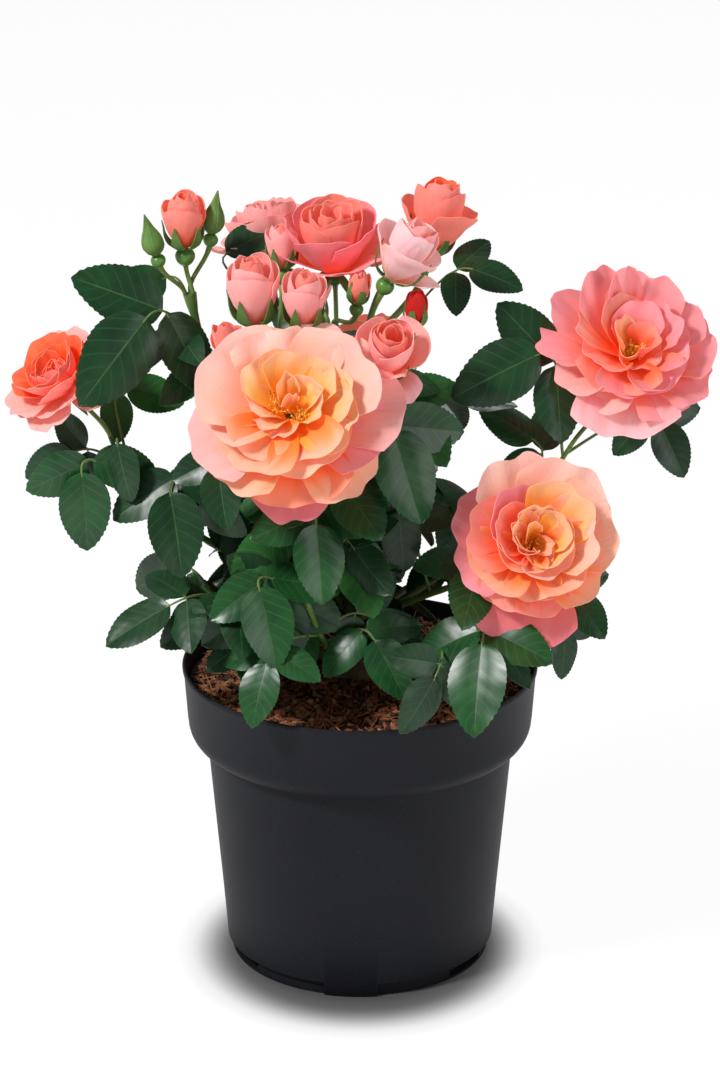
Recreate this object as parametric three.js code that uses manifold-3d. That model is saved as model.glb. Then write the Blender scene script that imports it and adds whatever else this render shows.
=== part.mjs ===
// Potted rose bush. Millimetres, +Z up, the origin at the centre of the pot's underside, -Y the front.
import * as THREE from 'three';
import Module from 'manifold-3d';

const wasm = await Module();
wasm.setup();

// The pot.
const RIM_RADIUS = 113;
const POT_HEIGHT = 196;
const COLLAR_FOOT_RADIUS = 109.5;
const COLLAR_FOOT_HEIGHT = 158;
const STEP_HEIGHT = 144;
const STEP_RADIUS = 97.5;
const BASE_RADIUS = 84.5;
const FOOT_HEIGHT = 9;
const FOOT_INSET = 2;
const PAD_HALF_ANGLE = 11.5;
const NOTCH_HALF_ANGLE = 12;
const NOTCH_DEPTH = 7;
const FOOT_TURN = -4;
const WALL = 2.2;
const FLOOR = 12;
const POT_SIDES = 36;

// The soil and the woody stub.
const SOIL_EDGE_HEIGHT = 183;
const SOIL_TOP_HEIGHT = 187;
const SOIL_FLAT_RADIUS = 24;
const SEAT_GAP = 0.35;
const STUB_TOP = 216;
const STUB_NECK_RADIUS = 12;
const STUB_KNUCKLE_RADIUS = 15;
const STUB_FLARE_RADIUS = 18;
const STUB_LEAN = 2;

// Canes, stems, leaves and stalks.
const JOINT_GAP = 0.45;
const CLEARANCE = 0.5;
const TIDY = 0.02;
const CANE_FOOT_RADIUS = 2.8;
const CANE_END_RADIUS = 2.3;
const STEM_TIP_RADIUS = 1.5;
const CANE_RING = 10.4;
const INNER_RING = 3.4;
const SIDE_EXIT_HEIGHT = 201;
const STALK_RADIUS = 1.2;
const LEAF_TURN = 144;
const LEAF_FOLD = 0.2;
const FRONT_LEAVES = 34;
const LEAF_THICKNESS = 1.2;
const STALK_HALF = 1.3;
const PAIR_SPREAD = 70;
const PAIR_SETBACK = 0.25;
const PAIR_SPACING = 0.53;
const PAIR_FOOT = 1.5;
const BARE_STALK = 6;
const STALK_STEPS = 16;

// Leaflet stations between foot and tip: [place, half breadth] as parts of its length.
const FINE_STATIONS = [[0.32, 0.32], [0.7, 0.3]];
const PLAIN_STATIONS = [[0.48, 0.37]];

// Each shoot: where it leaves the stub, its bend, its tip, the part of it that is bare cane,
// how many leaves its rule sets, their first turn, and its longest-reaching leaves, each given as
// [place along the shoot, end leaflet's foot, end leaflet's tip, pairs of side leaflets].
const SHOOTS = {
  left_low: {
    slot: 200, bend: [-131, -25, 282], tip: [-154, -30, 358], bare: 0.5, leaves: 2, turn: 20,
    reach: [
      [0.86, [-171, -50, 342], [-166, -62, 294], 1],
      [0.94, [-149, -42, 358], [-143, -58, 326], 0],
      [0.9, [-145, 5, 379], [-110, 5, 366], 1],
    ],
  },
  left_top: {
    slot: 160, bend: [-84, 0, 325], tip: [-105, 0, 441], bare: 0.42, leaves: 2, turn: 80,
    reach: [
      [0.9, [-130, -35, 437], [-167, -75, 399], 1],
      [0.97, [-120, 10, 448], [-158, -5, 437], 0],
      [0.6, [-117, -52, 330], [-107, -75, 283], 2],
      [0.55, [-86, -80, 357], [-82, -96, 322], 1],
    ],
  },
  centre_left: {
    slot: 240, bend: [-42, -22, 320], tip: [-50, -22, 396], bare: 0.42, leaves: 3, turn: 190, reach: [],
  },
  centre_top: {
    slot: -1, bend: [-14, 18, 318], tip: [-17, 12, 416], bare: 0.4, leaves: 4, turn: 95,
    reach: [
      [0.93, [-80, 30, 460], [-55, 35, 476], 1],
    ],
  },
  right_top: {
    slot: -2, bend: [8, 0, 310], tip: [4, -5, 394], bare: 0.4, leaves: 3, turn: 20,
    reach: [
      [0.62, [20, -70, 377], [36, -92, 324], 1],
      [0.97, [68, 22, 450], [101, 10, 444], 1],
      [0.8, [61, -5, 373], [98, -5, 372], 1],
    ],
  },
  front: {
    slot: 280, bend: [-29, -31, 275], tip: [-36, -52, 345], bare: 0.45, leaves: 2, turn: 308,
    reach: [
      [0.74, [-27, -85, 322], [-22, -108, 278], 1],
      [0.6, [-14, -48, 312], [16, -60, 318], 0],
    ],
  },
  right: {
    slot: 0, bend: [86, 20, 250], tip: [131, -4, 342], bare: 0.45, leaves: 2, turn: 250,
    reach: [
      [0.97, [111, -15, 407], [58, -35, 389], 1],
      [0.98, [187, 5, 354], [204, -8, 324], 1],
      [0.8, [109, 5, 343], [77, 10, 366], 1],
    ],
  },
  right_low: {
    slot: 320, bend: [60, -20, 248], tip: [93, -46, 283], bare: 0.4, leaves: 2, turn: 60,
    reach: [
      [0.9, [132, -60, 265], [152, -75, 243], 1],
      [0.7, [128, -40, 233], [128, -50, 204], 1],
      [0.66, [64, -20, 310], [54, -25, 274], 0],
      [0.55, [24, -40, 313], [27, -50, 275], 1],
    ],
  },
  back_left: {
    slot: 120, bend: [-48, 55, 250], tip: [-58, 84, 312], bare: 0.4, leaves: 5, turn: 120, reach: [],
  },
  back: {
    slot: 80, bend: [5, 50, 280], tip: [6, 72, 352], bare: 0.38, leaves: 6, turn: 30, reach: [],
  },
  back_right: {
    slot: 40, bend: [60, 45, 235], tip: [82, 76, 258], bare: 0.42, leaves: 5, turn: 40, reach: [],
  },
  low_left: {
    slot: 205, low: true, bend: [-62, -42, 225], tip: [-97, -60, 271], bare: 0.35, leaves: 2, turn: 120,
    reach: [
      [0.94, [-117, -75, 264], [-158, -85, 244], 2],
      [0.8, [-70, -30, 274], [-97, -40, 258], 1],
    ],
  },
  low_front: {
    slot: 252, low: true, bend: [-26, -62, 225], tip: [-37, -75, 286], bare: 0.3, leaves: 1, turn: 200,
    reach: [
      [0.9, [-62, -85, 280], [-49, -110, 238], 1],
      [0.55, [-68, -75, 241], [-96, -82, 226], 0],
      [0.66, [-57, -100, 236], [-67, -122, 204], 1],
      [0.6, [9, -70, 239], [28, -95, 211], 1],
    ],
  },
  low_right: {
    slot: 322, low: true, bend: [48, -50, 222], tip: [88, -68, 252], bare: 0.35, leaves: 2, turn: 40,
    reach: [
      [0.9, [75, -88, 244], [68, -126, 201], 2],
      [0.64, [46, -103, 228], [28, -123, 198], 1],
    ],
  },
  low_back: {
    slot: 100, low: true, bend: [-14, 58, 226], tip: [-22, 92, 262], bare: 0.35, leaves: 4, turn: 60, reach: [],
  },
};

// Each flower: its shoot, how far open it is, its middle, the way it faces and its width.
const FLOWERS = {
  bloom_front: { shoot: 'front', kind: 'open', at: [-42, -95, 397], faces: [0, -0.72, 0.69], width: 120 },
  bloom_right: { shoot: 'right', kind: 'open', at: [167, -12, 407], faces: [0.08, -0.5, 0.86], width: 106 },
  bloom_right_low: { shoot: 'right_low', kind: 'cup', at: [107, -85, 312], faces: [0.1, -0.8, 0.59], width: 104 },
  bloom_left: { shoot: 'left_low', kind: 'cup', at: [-185, -36, 400], faces: [-0.45, -0.5, 0.74], width: 78 },
  bloom_top: { shoot: 'centre_top', kind: 'goblet', at: [-17, 10, 472], faces: [-0.05, -0.25, 0.97], width: 56 },
  bloom_top_left: { shoot: 'centre_top', kind: 'goblet', at: [-55, 60, 460], faces: [-0.2, 0.15, 0.97], width: 54 },
  bloom_top_right: { shoot: 'right_top', kind: 'half', at: [47, 38, 475], faces: [0.2, 0.2, 0.96], width: 42 },
  bud_pale: { shoot: 'right_top', kind: 'half', at: [29, -26, 469], faces: [0.5, -0.1, 0.86], width: 34 },
  bud_turned: { shoot: 'right_top', kind: 'half', at: [21, -60, 425], faces: [0.1, -0.6, 0.79], width: 38 },
  bud_red: { shoot: 'right_top', kind: 'bud', at: [37, -20, 438], faces: [0.05, -0.1, 0.99], width: 13 },
  bud_trio_mid: { shoot: 'left_top', kind: 'bud', at: [-110, 0, 488], faces: [-0.02, -0.1, 0.99], width: 26 },
  bud_trio_left: { shoot: 'left_top', kind: 'bud', at: [-127, -10, 478], faces: [-0.25, -0.1, 0.96], width: 15 },
  bud_trio_right: { shoot: 'left_top', kind: 'bud', at: [-90, 10, 486], faces: [0.15, 0.05, 0.98], width: 15 },
  bud_pair_left: { shoot: 'centre_left', kind: 'bud', at: [-65, -35, 452], faces: [-0.05, -0.15, 0.98], width: 32 },
  bud_pair_right: { shoot: 'centre_left', kind: 'bud', at: [-34, -45, 450], faces: [0.06, -0.2, 0.97], width: 27 },
  bud_small_left: { shoot: 'centre_left', kind: 'bud', at: [-48, 6, 468], faces: [0, 0.1, 0.99], width: 20 },
  bud_small_right: { shoot: 'centre_top', kind: 'bud', at: [-1, -24, 450], faces: [0.1, -0.1, 0.99], width: 13 },
  bloom_back: { shoot: 'back', kind: 'cup', at: [20, 98, 386], faces: [0.2, 0.6, 0.78], width: 76 },
  bloom_back_left: { shoot: 'back_left', kind: 'open', at: [-60, 118, 338], faces: [-0.3, 0.8, 0.52], width: 88 },
  bloom_back_right: { shoot: 'back_right', kind: 'open', at: [100, 104, 272], faces: [0.5, 0.7, 0.5], width: 80 },
  bud_back: { shoot: 'back', kind: 'half', at: [-36, 70, 410], faces: [-0.25, 0.3, 0.92], width: 34 },
  bud_back_left: { shoot: 'back_left', kind: 'bud', at: [-84, 78, 380], faces: [-0.2, 0, 0.97], width: 20 },
};

// Whorls of petals for each kind, from the outside in: how many, corners to each, steps from face to
// face, length as a part of the flower's width, depth of the notches between them, lean away from
// the flower's axis at foot and tip in degrees, and how far up the axis they start.
const WHORLS = {
  open: [
    { count: 6, points: 3, steps: 2, length: 0.5, notch: 0.3, lean: [86, 90], lift: 0 },
    { count: 5, points: 2, steps: 2, length: 0.44, notch: 0.22, lean: [62, 60], lift: 0.01 },
    { count: 5, points: 2, steps: 4, length: 0.27, notch: 0.18, lean: [40, 20], lift: 0.02 },
  ],
  cup: [
    { count: 5, points: 3, steps: 4, length: 0.54, notch: 0.26, lean: [76, 62], lift: 0 },
    { count: 5, points: 2, steps: 4, length: 0.52, notch: 0.16, lean: [58, 6], lift: 0.01 },
    { count: 4, points: 2, steps: 2, length: 0.38, notch: 0.14, lean: [32, 10], lift: 0.02 },
  ],
  goblet: [
    { count: 5, points: 3, steps: 4, length: 0.82, notch: 0.2, lean: [62, 18], lift: 0 },
    { count: 4, points: 3, steps: 4, length: 0.84, notch: 0.1, lean: [34, 0], lift: 0.02 },
  ],
  half: [
    { count: 4, points: 3, steps: 4, length: 0.95, notch: 0.2, lean: [60, 6], lift: 0 },
    { count: 3, points: 3, steps: 4, length: 1, notch: 0.12, lean: [34, -14], lift: 0.02 },
  ],
};
const SEPAL_STAR = { count: 5, points: 2, steps: 2, length: 1, notch: 0.72, lean: [112, 124], lift: -0.1 };

const rad = (degrees) => THREE.MathUtils.degToRad(degrees);
const vec = (place) => new THREE.Vector3(...place);
const sumOf = (values) => values.reduce((sum, value) => sum + value, 0);

// A small repeatable row of numbers between 0 and 1.
function seeded(seed) {
  let state = seed;
  return () => {
    state = (Math.imul(state, 1664525) + 1013904223) >>> 0;
    return state / 4294967296;
  };
}

// Joins a geometry's equal vertices and gives it as a solid.
function solidOf(geometry) {
  const flat = geometry.index ? geometry.toNonIndexed() : geometry;
  const at = flat.attributes.position;
  const seen = new Map();
  const vertices = [];
  const corners = [];
  for (let i = 0; i < at.count; i += 1) {
    const place = [at.getX(i), at.getY(i), at.getZ(i)];
    const key = place.map((value) => Math.round(value * 2000)).join(' ');
    if (!seen.has(key)) {
      seen.set(key, vertices.length / 3);
      vertices.push(...place);
    }
    corners.push(seen.get(key));
  }
  const triangles = [];
  for (let i = 0; i < corners.length; i += 3) {
    const [a, b, c] = corners.slice(i, i + 3);
    if (a !== b && b !== c && c !== a) triangles.push(a, b, c);
  }
  if (signedVolume(vertices, triangles) < 0) triangles.reverse();
  return new wasm.Manifold(new wasm.Mesh({
    numProp: 3,
    vertProperties: new Float32Array(vertices),
    triVerts: new Uint32Array(triangles),
  }));
}

// Six times the volume inside a set of triangles; below zero when they face inwards.
function signedVolume(vertices, triangles) {
  const corner = (index) => new THREE.Vector3().fromArray(vertices, triangles[index] * 3);
  let sum = 0;
  for (let i = 0; i < triangles.length; i += 3) {
    sum += corner(i).dot(corner(i + 1).cross(corner(i + 2)));
  }
  return sum;
}

// Moves every vertex of a geometry through a function.
function warp(geometry, place) {
  const at = geometry.attributes.position;
  const from = new THREE.Vector3();
  for (let i = 0; i < at.count; i += 1) {
    from.fromBufferAttribute(at, i);
    const to = place(from.x, from.y, from.z);
    at.setXYZ(i, to.x, to.y, to.z);
  }
  return geometry;
}

// A round limb that follows a curve between two places on it and tapers evenly.
function limb(curve, from, to, footRadius, tipRadius, sides, steps) {
  const chord = curve.getPoint(to).sub(curve.getPoint(from)).normalize();
  const helper = Math.abs(chord.z) > 0.7 ? new THREE.Vector3(0, 1, 0) : new THREE.Vector3(0, 0, 1);
  const tube = new THREE.CylinderGeometry(1, 1, 1, sides, steps);
  return solidOf(warp(tube, (x, y, z) => {
    const along = y + 0.5;
    const t = from + (to - from) * along;
    const forward = curve.getTangent(t);
    const side = new THREE.Vector3().crossVectors(helper, forward).normalize();
    const up = new THREE.Vector3().crossVectors(forward, side);
    const radius = footRadius + (tipRadius - footRadius) * along;
    return curve.getPoint(t).addScaledVector(side, z * radius).addScaledVector(up, x * radius);
  }));
}

// The way a leaf's blades face: up and outwards, and those of the front turned to the front.
function leafFace(foot) {
  const outward = new THREE.Vector3(foot.x, foot.y, 0).normalize();
  if (foot.y < FRONT_LEAVES) return new THREE.Vector3(outward.x * 0.25, -0.72, 0.65).normalize();
  return outward.multiplyScalar(0.55).add(new THREE.Vector3(0, 0, 0.85)).normalize();
}

// A thin plate over faces between corners, closed by walls along its open edges.
function plate(corners, faces) {
  const places = [0.5, -0.5].flatMap((share) => corners.map(({ place, face }) => {
    return place.clone().addScaledVector(face, share * LEAF_THICKNESS);
  }));
  const lower = corners.length;
  const open = new Map();
  const triangles = [];
  for (const ring of faces) {
    for (let i = 2; i < ring.length; i += 1) {
      triangles.push(ring[0], ring[i - 1], ring[i]);
      triangles.push(ring[0] + lower, ring[i] + lower, ring[i - 1] + lower);
    }
    ring.forEach((from, index) => {
      const to = ring[(index + 1) % ring.length];
      if (!open.delete(`${to} ${from}`)) open.set(`${from} ${to}`, [from, to]);
    });
  }
  for (const [from, to] of open.values()) {
    triangles.push(to, from, from + lower, to, from + lower, to + lower);
  }
  const points = triangles.map((corner) => places[corner]);
  return solidOf(new THREE.BufferGeometry().setFromPoints(points));
}

// The place halfway between two corners.
function midway(one, other) {
  return one.place.clone().lerp(other.place, 0.5);
}

// The curve of a leaf's stalk, which comes round to the way its end leaflet points.
function stalkCurve(root, foot, forward) {
  const span = foot.distanceTo(root);
  const first = root.clone().lerp(foot, 0.3).add(new THREE.Vector3(0, 0, span * 0.1));
  const second = foot.clone().addScaledVector(forward, -Math.min(span * 0.45, 18));
  return new THREE.CubicBezierCurve3(root, first, second, foot);
}

// A direction made square to another.
function levelTo(side, way) {
  return side.clone().addScaledVector(way, -side.dot(way)).normalize();
}

// The sideways direction at even steps of a leaf's stalk, carried back from its end without a twist.
function stalkSides(curve, side) {
  const sides = [];
  let last = side;
  for (let step = STALK_STEPS; step >= 0; step -= 1) {
    last = levelTo(last, curve.getTangentAt(step / STALK_STEPS));
    sides.unshift(last);
  }
  return sides;
}

// A compound leaf in one plate: a flat stalk that ends in a leaflet, with side leaflets in pairs.
function compoundLeaf(root, foot, tip, pairs, stations) {
  const forward = tip.clone().sub(foot);
  const blade = forward.length();
  forward.normalize();
  const curve = stalkCurve(root, foot, forward);
  const span = curve.getLength();
  const side = new THREE.Vector3().crossVectors(forward, leafFace(foot)).normalize();
  const face = new THREE.Vector3().crossVectors(side, forward);
  const sides = stalkSides(curve, side);
  const corners = [];
  const faces = [];
  const corner = (place, facing) => corners.push({ place, face: facing }) - 1;

  const stalkRung = (at) => {
    const u = THREE.MathUtils.clamp(at / span, 0, 1);
    const way = curve.getTangentAt(u);
    const out = levelTo(sides[Math.round(u * STALK_STEPS)], way);
    const facing = new THREE.Vector3().crossVectors(out, way);
    return [-1, 1].map((hand) => corner(curve.getPointAt(u).addScaledVector(out, hand * STALK_HALF), facing));
  };

  const addLeaflet = (rung, anchor, turn, length) => {
    const along = forward.clone().applyAxisAngle(face, turn);
    const across = side.clone().applyAxisAngle(face, turn);
    const end = (u, half) => {
      const place = anchor.clone().addScaledVector(along, u * length).addScaledVector(across, half * length);
      return corner(place.addScaledVector(face, (Math.abs(half) * LEAF_FOLD - 0.06 * u * u) * length), face);
    };
    let last = rung;
    for (const [u, half] of stations) {
      const next = [end(u, -half), end(u, half)];
      faces.push([...last, next[1], next[0]]);
      last = next;
    }
    faces.push([...last, end(1, 0)]);
  };

  let last = stalkRung(0);
  const growTo = (at) => {
    const next = stalkRung(at);
    faces.push([...last, next[1], next[0]]);
    last = next;
  };
  growTo(span * 0.25);
  for (let pair = pairs - 1; pair >= 0; pair -= 1) {
    const at = span - blade * (PAIR_SETBACK + PAIR_SPACING * pair);
    if (at < span * 0.25 + BARE_STALK) continue;
    growTo(at - PAIR_FOOT);
    const [left, right] = last;
    growTo(at + PAIR_FOOT);
    const turn = rad(PAIR_SPREAD + 8 * pair);
    const length = blade * (0.86 - 0.2 * pair);
    addLeaflet([left, last[0]], midway(corners[left], corners[last[0]]), turn, length);
    addLeaflet([last[1], right], midway(corners[last[1]], corners[right]), -turn, length);
  }
  growTo(span);
  addLeaflet(last, foot, 0, blade);
  return plate(corners, faces);
}

// A whorl of petals, or the star of sepals, as one thin lobed bowl about the flower's axis.
function lobedBowl(whorl, width, turn, toFlower) {
  const { points, steps } = whorl;
  const bowl = new THREE.SphereGeometry(1, whorl.count * points, steps);
  const [first, last] = whorl.lean.map(rad);
  return solidOf(warp(bowl, (x, y, z) => {
    const rise = Math.round((Math.acos(THREE.MathUtils.clamp(-y, -1, 1)) / Math.PI) * steps) / steps;
    const u = rise === 0.5 ? 1 : [0, 0.6][Math.round(4 * Math.min(rise, 1 - rise))];
    const around = Math.atan2(z, x);
    const place = Math.round(((around / (2 * Math.PI)) + 1) * whorl.count * points) % points;
    const lobe = place === 0 ? 1 - whorl.notch * u * u : 1;
    const reach = whorl.length * width * u * lobe;
    const lean = first + (last - first) * u * 0.5;
    const thick = Math.sign(rise - 0.5) * Math.max(0.6, width * 0.008);
    const radius = Math.sin(lean) * reach - (u > 0 ? thick * Math.cos(lean) : 0);
    const height = whorl.lift * width + Math.cos(lean) * reach + thick * (u > 0 ? Math.sin(lean) : 1);
    const spot = new THREE.Vector3(radius * Math.cos(around + turn), radius * Math.sin(around + turn), height);
    return spot.applyMatrix4(toFlower);
  }));
}

// A round body on the flower's axis, its radius given at even steps of height.
function roundBody(bottom, top, radii, sides, toFlower) {
  const body = new THREE.SphereGeometry(1, sides, radii.length + 1);
  return solidOf(warp(body, (x, y, z) => {
    const share = Math.acos(THREE.MathUtils.clamp(-y, -1, 1)) / Math.PI;
    const ring = Math.hypot(x, z);
    const index = Math.round(share * (radii.length + 1)) - 1;
    const radius = ring > 0.01 ? radii[index] / ring : 0;
    return new THREE.Vector3(x * radius, -z * radius, bottom + (top - bottom) * share).applyMatrix4(toFlower);
  }));
}

// How far the hip sits behind the flower's middle.
function hipDepth(flower) {
  if (flower.kind === 'bud') return flower.width * 0.62;
  if (flower.kind === 'half') return flower.width * 0.5;
  return flower.width * { open: 0.08, cup: 0.22, goblet: 0.42 }[flower.kind];
}

function hipRadius(flower) {
  return flower.kind === 'bud' ? 2.4 + flower.width * 0.11 : 3.6 + flower.width * 0.02;
}

// The frame of a flower: z along the way it faces, the origin where its petals start.
function flowerFrame(flower) {
  const axis = vec(flower.faces).normalize();
  const turn = new THREE.Quaternion().setFromUnitVectors(new THREE.Vector3(0, 0, 1), axis);
  const start = vec(flower.at).addScaledVector(axis, -hipDepth(flower));
  return new THREE.Matrix4().compose(start, turn, new THREE.Vector3(1, 1, 1));
}

// The curve of one shoot from the stub to its tip.
function shootCurve(shoot) {
  const turn = rad(shoot.slot);
  const out = new THREE.Vector3(Math.cos(turn), Math.sin(turn), 0);
  const tip = vec(shoot.tip);
  if (shoot.low) {
    const foot = out.clone().multiplyScalar(STUB_NECK_RADIUS + JOINT_GAP + 0.6).setZ(SIDE_EXIT_HEIGHT);
    return new THREE.CubicBezierCurve3(foot, foot.clone().addScaledVector(out, 16), vec(shoot.bend), tip);
  }
  if (shoot.slot < 0) out.set(shoot.slot === -1 ? -0.5 : 0.5, shoot.slot === -1 ? 0.85 : -0.85, 0);
  const ring = shoot.slot < 0 ? INNER_RING : CANE_RING;
  const foot = out.multiplyScalar(ring).setZ(STUB_TOP + JOINT_GAP);
  foot.x += STUB_LEAN;
  return new THREE.CubicBezierCurve3(foot, foot.clone().add(new THREE.Vector3(0, 0, 26)), vec(shoot.bend), tip);
}

// Where each flower's stalk starts: side by side on the tip of its shoot, in the order they leave it.
function stalkFeet(name, shoot) {
  const curve = shootCurve(shoot);
  const tip = curve.getPoint(1);
  const forward = curve.getTangent(1);
  const side = new THREE.Vector3().crossVectors(new THREE.Vector3(0, 1, 0), forward).normalize();
  const up = new THREE.Vector3().crossVectors(forward, side);
  const own = Object.entries(FLOWERS).filter(([, flower]) => flower.shoot === name);
  const placed = own.map(([key, flower]) => {
    const way = vec(flower.at).sub(tip);
    return { key, turn: Math.atan2(way.dot(up), way.dot(side)) };
  });
  placed.sort((a, b) => a.turn - b.turn);
  const ring = own.length > 1 ? 1.2 + 0.55 * own.length : 0;
  const share = (2 * Math.PI) / placed.length;
  const lag = placed.map(({ turn }, index) => turn - index * share);
  const start = Math.atan2(sumOf(lag.map(Math.sin)), sumOf(lag.map(Math.cos)));
  const feet = {};
  placed.forEach(({ key }, index) => {
    const turn = start + index * share;
    const foot = tip.clone().addScaledVector(forward, JOINT_GAP);
    feet[key] = foot.addScaledVector(side, ring * Math.cos(turn)).addScaledVector(up, ring * Math.sin(turn));
  });
  return { feet, ring };
}

// The lathe-turned body of the pot, open at the top, with a rounded shoulder under its collar.
function potBody() {
  const outline = [[0, 0], [BASE_RADIUS, 0]];
  outline.push([STEP_RADIUS, STEP_HEIGHT]);
  for (let step = 1; step <= 4; step += 1) {
    const turn = (step / 4) * (Math.PI / 2);
    const radius = STEP_RADIUS + (COLLAR_FOOT_RADIUS - STEP_RADIUS) * Math.sin(turn);
    outline.push([radius, COLLAR_FOOT_HEIGHT - (COLLAR_FOOT_HEIGHT - STEP_HEIGHT) * Math.cos(turn) + 0.6]);
  }
  outline.push([RIM_RADIUS - 0.5, POT_HEIGHT - 4], [RIM_RADIUS, POT_HEIGHT - 2.5]);
  outline.push([RIM_RADIUS - 0.2, POT_HEIGHT - 0.4], [RIM_RADIUS - 0.8, POT_HEIGHT]);
  outline.push([RIM_RADIUS - WALL, POT_HEIGHT - 0.4]);
  outline.push([COLLAR_FOOT_RADIUS - WALL, COLLAR_FOOT_HEIGHT], [STEP_RADIUS - WALL, STEP_HEIGHT]);
  outline.push([BASE_RADIUS - WALL + 1.1, FLOOR], [0, FLOOR]);
  const points = outline.map(([radius, height]) => new THREE.Vector2(radius, height));
  const lathe = new THREE.LatheGeometry(points, POT_SIDES);
  return solidOf(lathe.rotateX(Math.PI / 2));
}

// A curved block between two radii, two heights and two turns about the pot's axis.
function ringBlock(inner, outer, low, high, middle, half) {
  const steps = Math.max(2, Math.round(half / 5));
  const block = new THREE.BoxGeometry(1, 1, 1, 1, steps, 1);
  return solidOf(warp(block, (x, y, z) => {
    const turn = rad(middle + 2 * half * y);
    const radius = inner + (outer - inner) * (x + 0.5);
    return new THREE.Vector3(radius * Math.cos(turn), radius * Math.sin(turn), low + (high - low) * (z + 0.5));
  }));
}

// The pot: its foot is set in between three flush pads, with a drain notch between each two pads.
function makePot() {
  let pot = potBody();
  const outer = BASE_RADIUS + 4;
  for (let third = 0; third < 3; third += 1) {
    const pad = 270 + FOOT_TURN + 120 * third;
    const inset = 60 - PAD_HALF_ANGLE;
    pot = pot.subtract(ringBlock(BASE_RADIUS - FOOT_INSET, outer, -1, FOOT_HEIGHT, pad + 60, inset));
    pot = pot.subtract(ringBlock(BASE_RADIUS - NOTCH_DEPTH, outer, 1.6, FOOT_HEIGHT - 1, pad + 60, NOTCH_HALF_ANGLE));
  }
  return pot;
}

// The soil: fills the pot, gently mounded, flat where the stub stands.
function makeSoil() {
  const gap = WALL + SEAT_GAP + 0.1;
  const outline = [[0, FLOOR + SEAT_GAP], [BASE_RADIUS - gap + 1.1, FLOOR + SEAT_GAP]];
  outline.push([STEP_RADIUS - gap, STEP_HEIGHT], [COLLAR_FOOT_RADIUS - gap, COLLAR_FOOT_HEIGHT]);
  const share = (SOIL_EDGE_HEIGHT - COLLAR_FOOT_HEIGHT) / (POT_HEIGHT - COLLAR_FOOT_HEIGHT);
  outline.push([COLLAR_FOOT_RADIUS - gap + (RIM_RADIUS - COLLAR_FOOT_RADIUS) * share, SOIL_EDGE_HEIGHT]);
  outline.push([70, SOIL_EDGE_HEIGHT + 2.5], [SOIL_FLAT_RADIUS, SOIL_TOP_HEIGHT], [0, SOIL_TOP_HEIGHT]);
  const points = outline.map(([radius, height]) => new THREE.Vector2(radius, height));
  return solidOf(new THREE.LatheGeometry(points, POT_SIDES).rotateX(Math.PI / 2));
}

// The woody stub: flared at the soil, necked, and swollen into a knuckle that carries the canes.
function makeStub() {
  const foot = SOIL_TOP_HEIGHT + SEAT_GAP;
  const outline = [[0, foot], [STUB_FLARE_RADIUS, foot], [STUB_NECK_RADIUS + 1.5, foot + 5]];
  outline.push([STUB_NECK_RADIUS, foot + 13], [STUB_NECK_RADIUS + 0.6, SIDE_EXIT_HEIGHT + 5]);
  outline.push([STUB_KNUCKLE_RADIUS, STUB_TOP - 4], [STUB_KNUCKLE_RADIUS - 0.6, STUB_TOP], [0, STUB_TOP]);
  const points = outline.map(([radius, height]) => new THREE.Vector2(radius, height));
  const lathe = new THREE.LatheGeometry(points, 14).rotateX(Math.PI / 2);
  return solidOf(warp(lathe, (x, y, z) => {
    const lean = (STUB_LEAN * Math.max(0, z - SIDE_EXIT_HEIGHT - 5)) / (STUB_TOP - SIDE_EXIT_HEIGHT - 5);
    const flare = 1 + (z < foot + 1 ? 0.12 * Math.cos(5 * Math.atan2(y, x)) : 0);
    return new THREE.Vector3(x * flare + lean, y * flare, z);
  }));
}

function makeCane(shoot) {
  const steps = shoot.low ? 4 : 6;
  return limb(shootCurve(shoot), 0, shoot.bare, CANE_FOOT_RADIUS, CANE_END_RADIUS, 6, steps);
}

// Where a shoot's leafy stem starts: just past the end of its cane.
function stemStart(shoot) {
  const curve = shootCurve(shoot);
  const step = 0.01;
  const stride = curve.getPoint(shoot.bare + step).distanceTo(curve.getPoint(shoot.bare));
  return shoot.bare + (step * JOINT_GAP) / stride;
}

// True when a solid keeps its clearance from all the others.
function isClear(solid, others) {
  return others.every((other) => solid.minGap(other, CLEARANCE + 0.1) > CLEARANCE);
}

// Fuses solids, fills what they seal in and drops loose scraps.
function fuse(solids) {
  const joined = wasm.Manifold.union(solids);
  const pieces = joined.decompose().filter((piece) => piece.volume() > 0);
  pieces.sort((a, b) => b.volume() - a.volume());
  return pieces[0].simplify(TIDY);
}

// A flower with its stalk, hip, sepals and petals in one piece.
function makeFlower(name, others) {
  const flower = FLOWERS[name];
  const shoot = SHOOTS[flower.shoot];
  const { feet } = stalkFeet(flower.shoot, shoot);
  const toFlower = flowerFrame(flower);
  const axis = vec(flower.faces).normalize();
  const hip = hipRadius(flower);
  const hipLow = new THREE.Vector3(0, 0, -hip * 1.7).applyMatrix4(toFlower);
  const start = shootCurve(shoot).getTangent(1);
  const span = hipLow.distanceTo(feet[name]);
  const end = hipLow.clone().addScaledVector(axis, 1.5);
  const stalk = new THREE.CubicBezierCurve3(
    feet[name],
    feet[name].clone().addScaledVector(start, span * 0.3),
    hipLow.clone().addScaledVector(axis, -span * 0.35),
    end,
  );
  const solids = [limb(stalk, 0, 1, STALK_RADIUS, STALK_RADIUS * 1.15, 4, 4)];
  solids.push(roundBody(-hip * 1.9, 0, [hip * 0.85, hip * 0.9], 6, toFlower));
  const extras = flower.kind === 'bud' ? budParts(flower, toFlower) : bloomParts(flower, toFlower);
  for (const part of extras) {
    if (isClear(part, others)) solids.push(part);
  }
  return fuse(solids);
}

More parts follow.
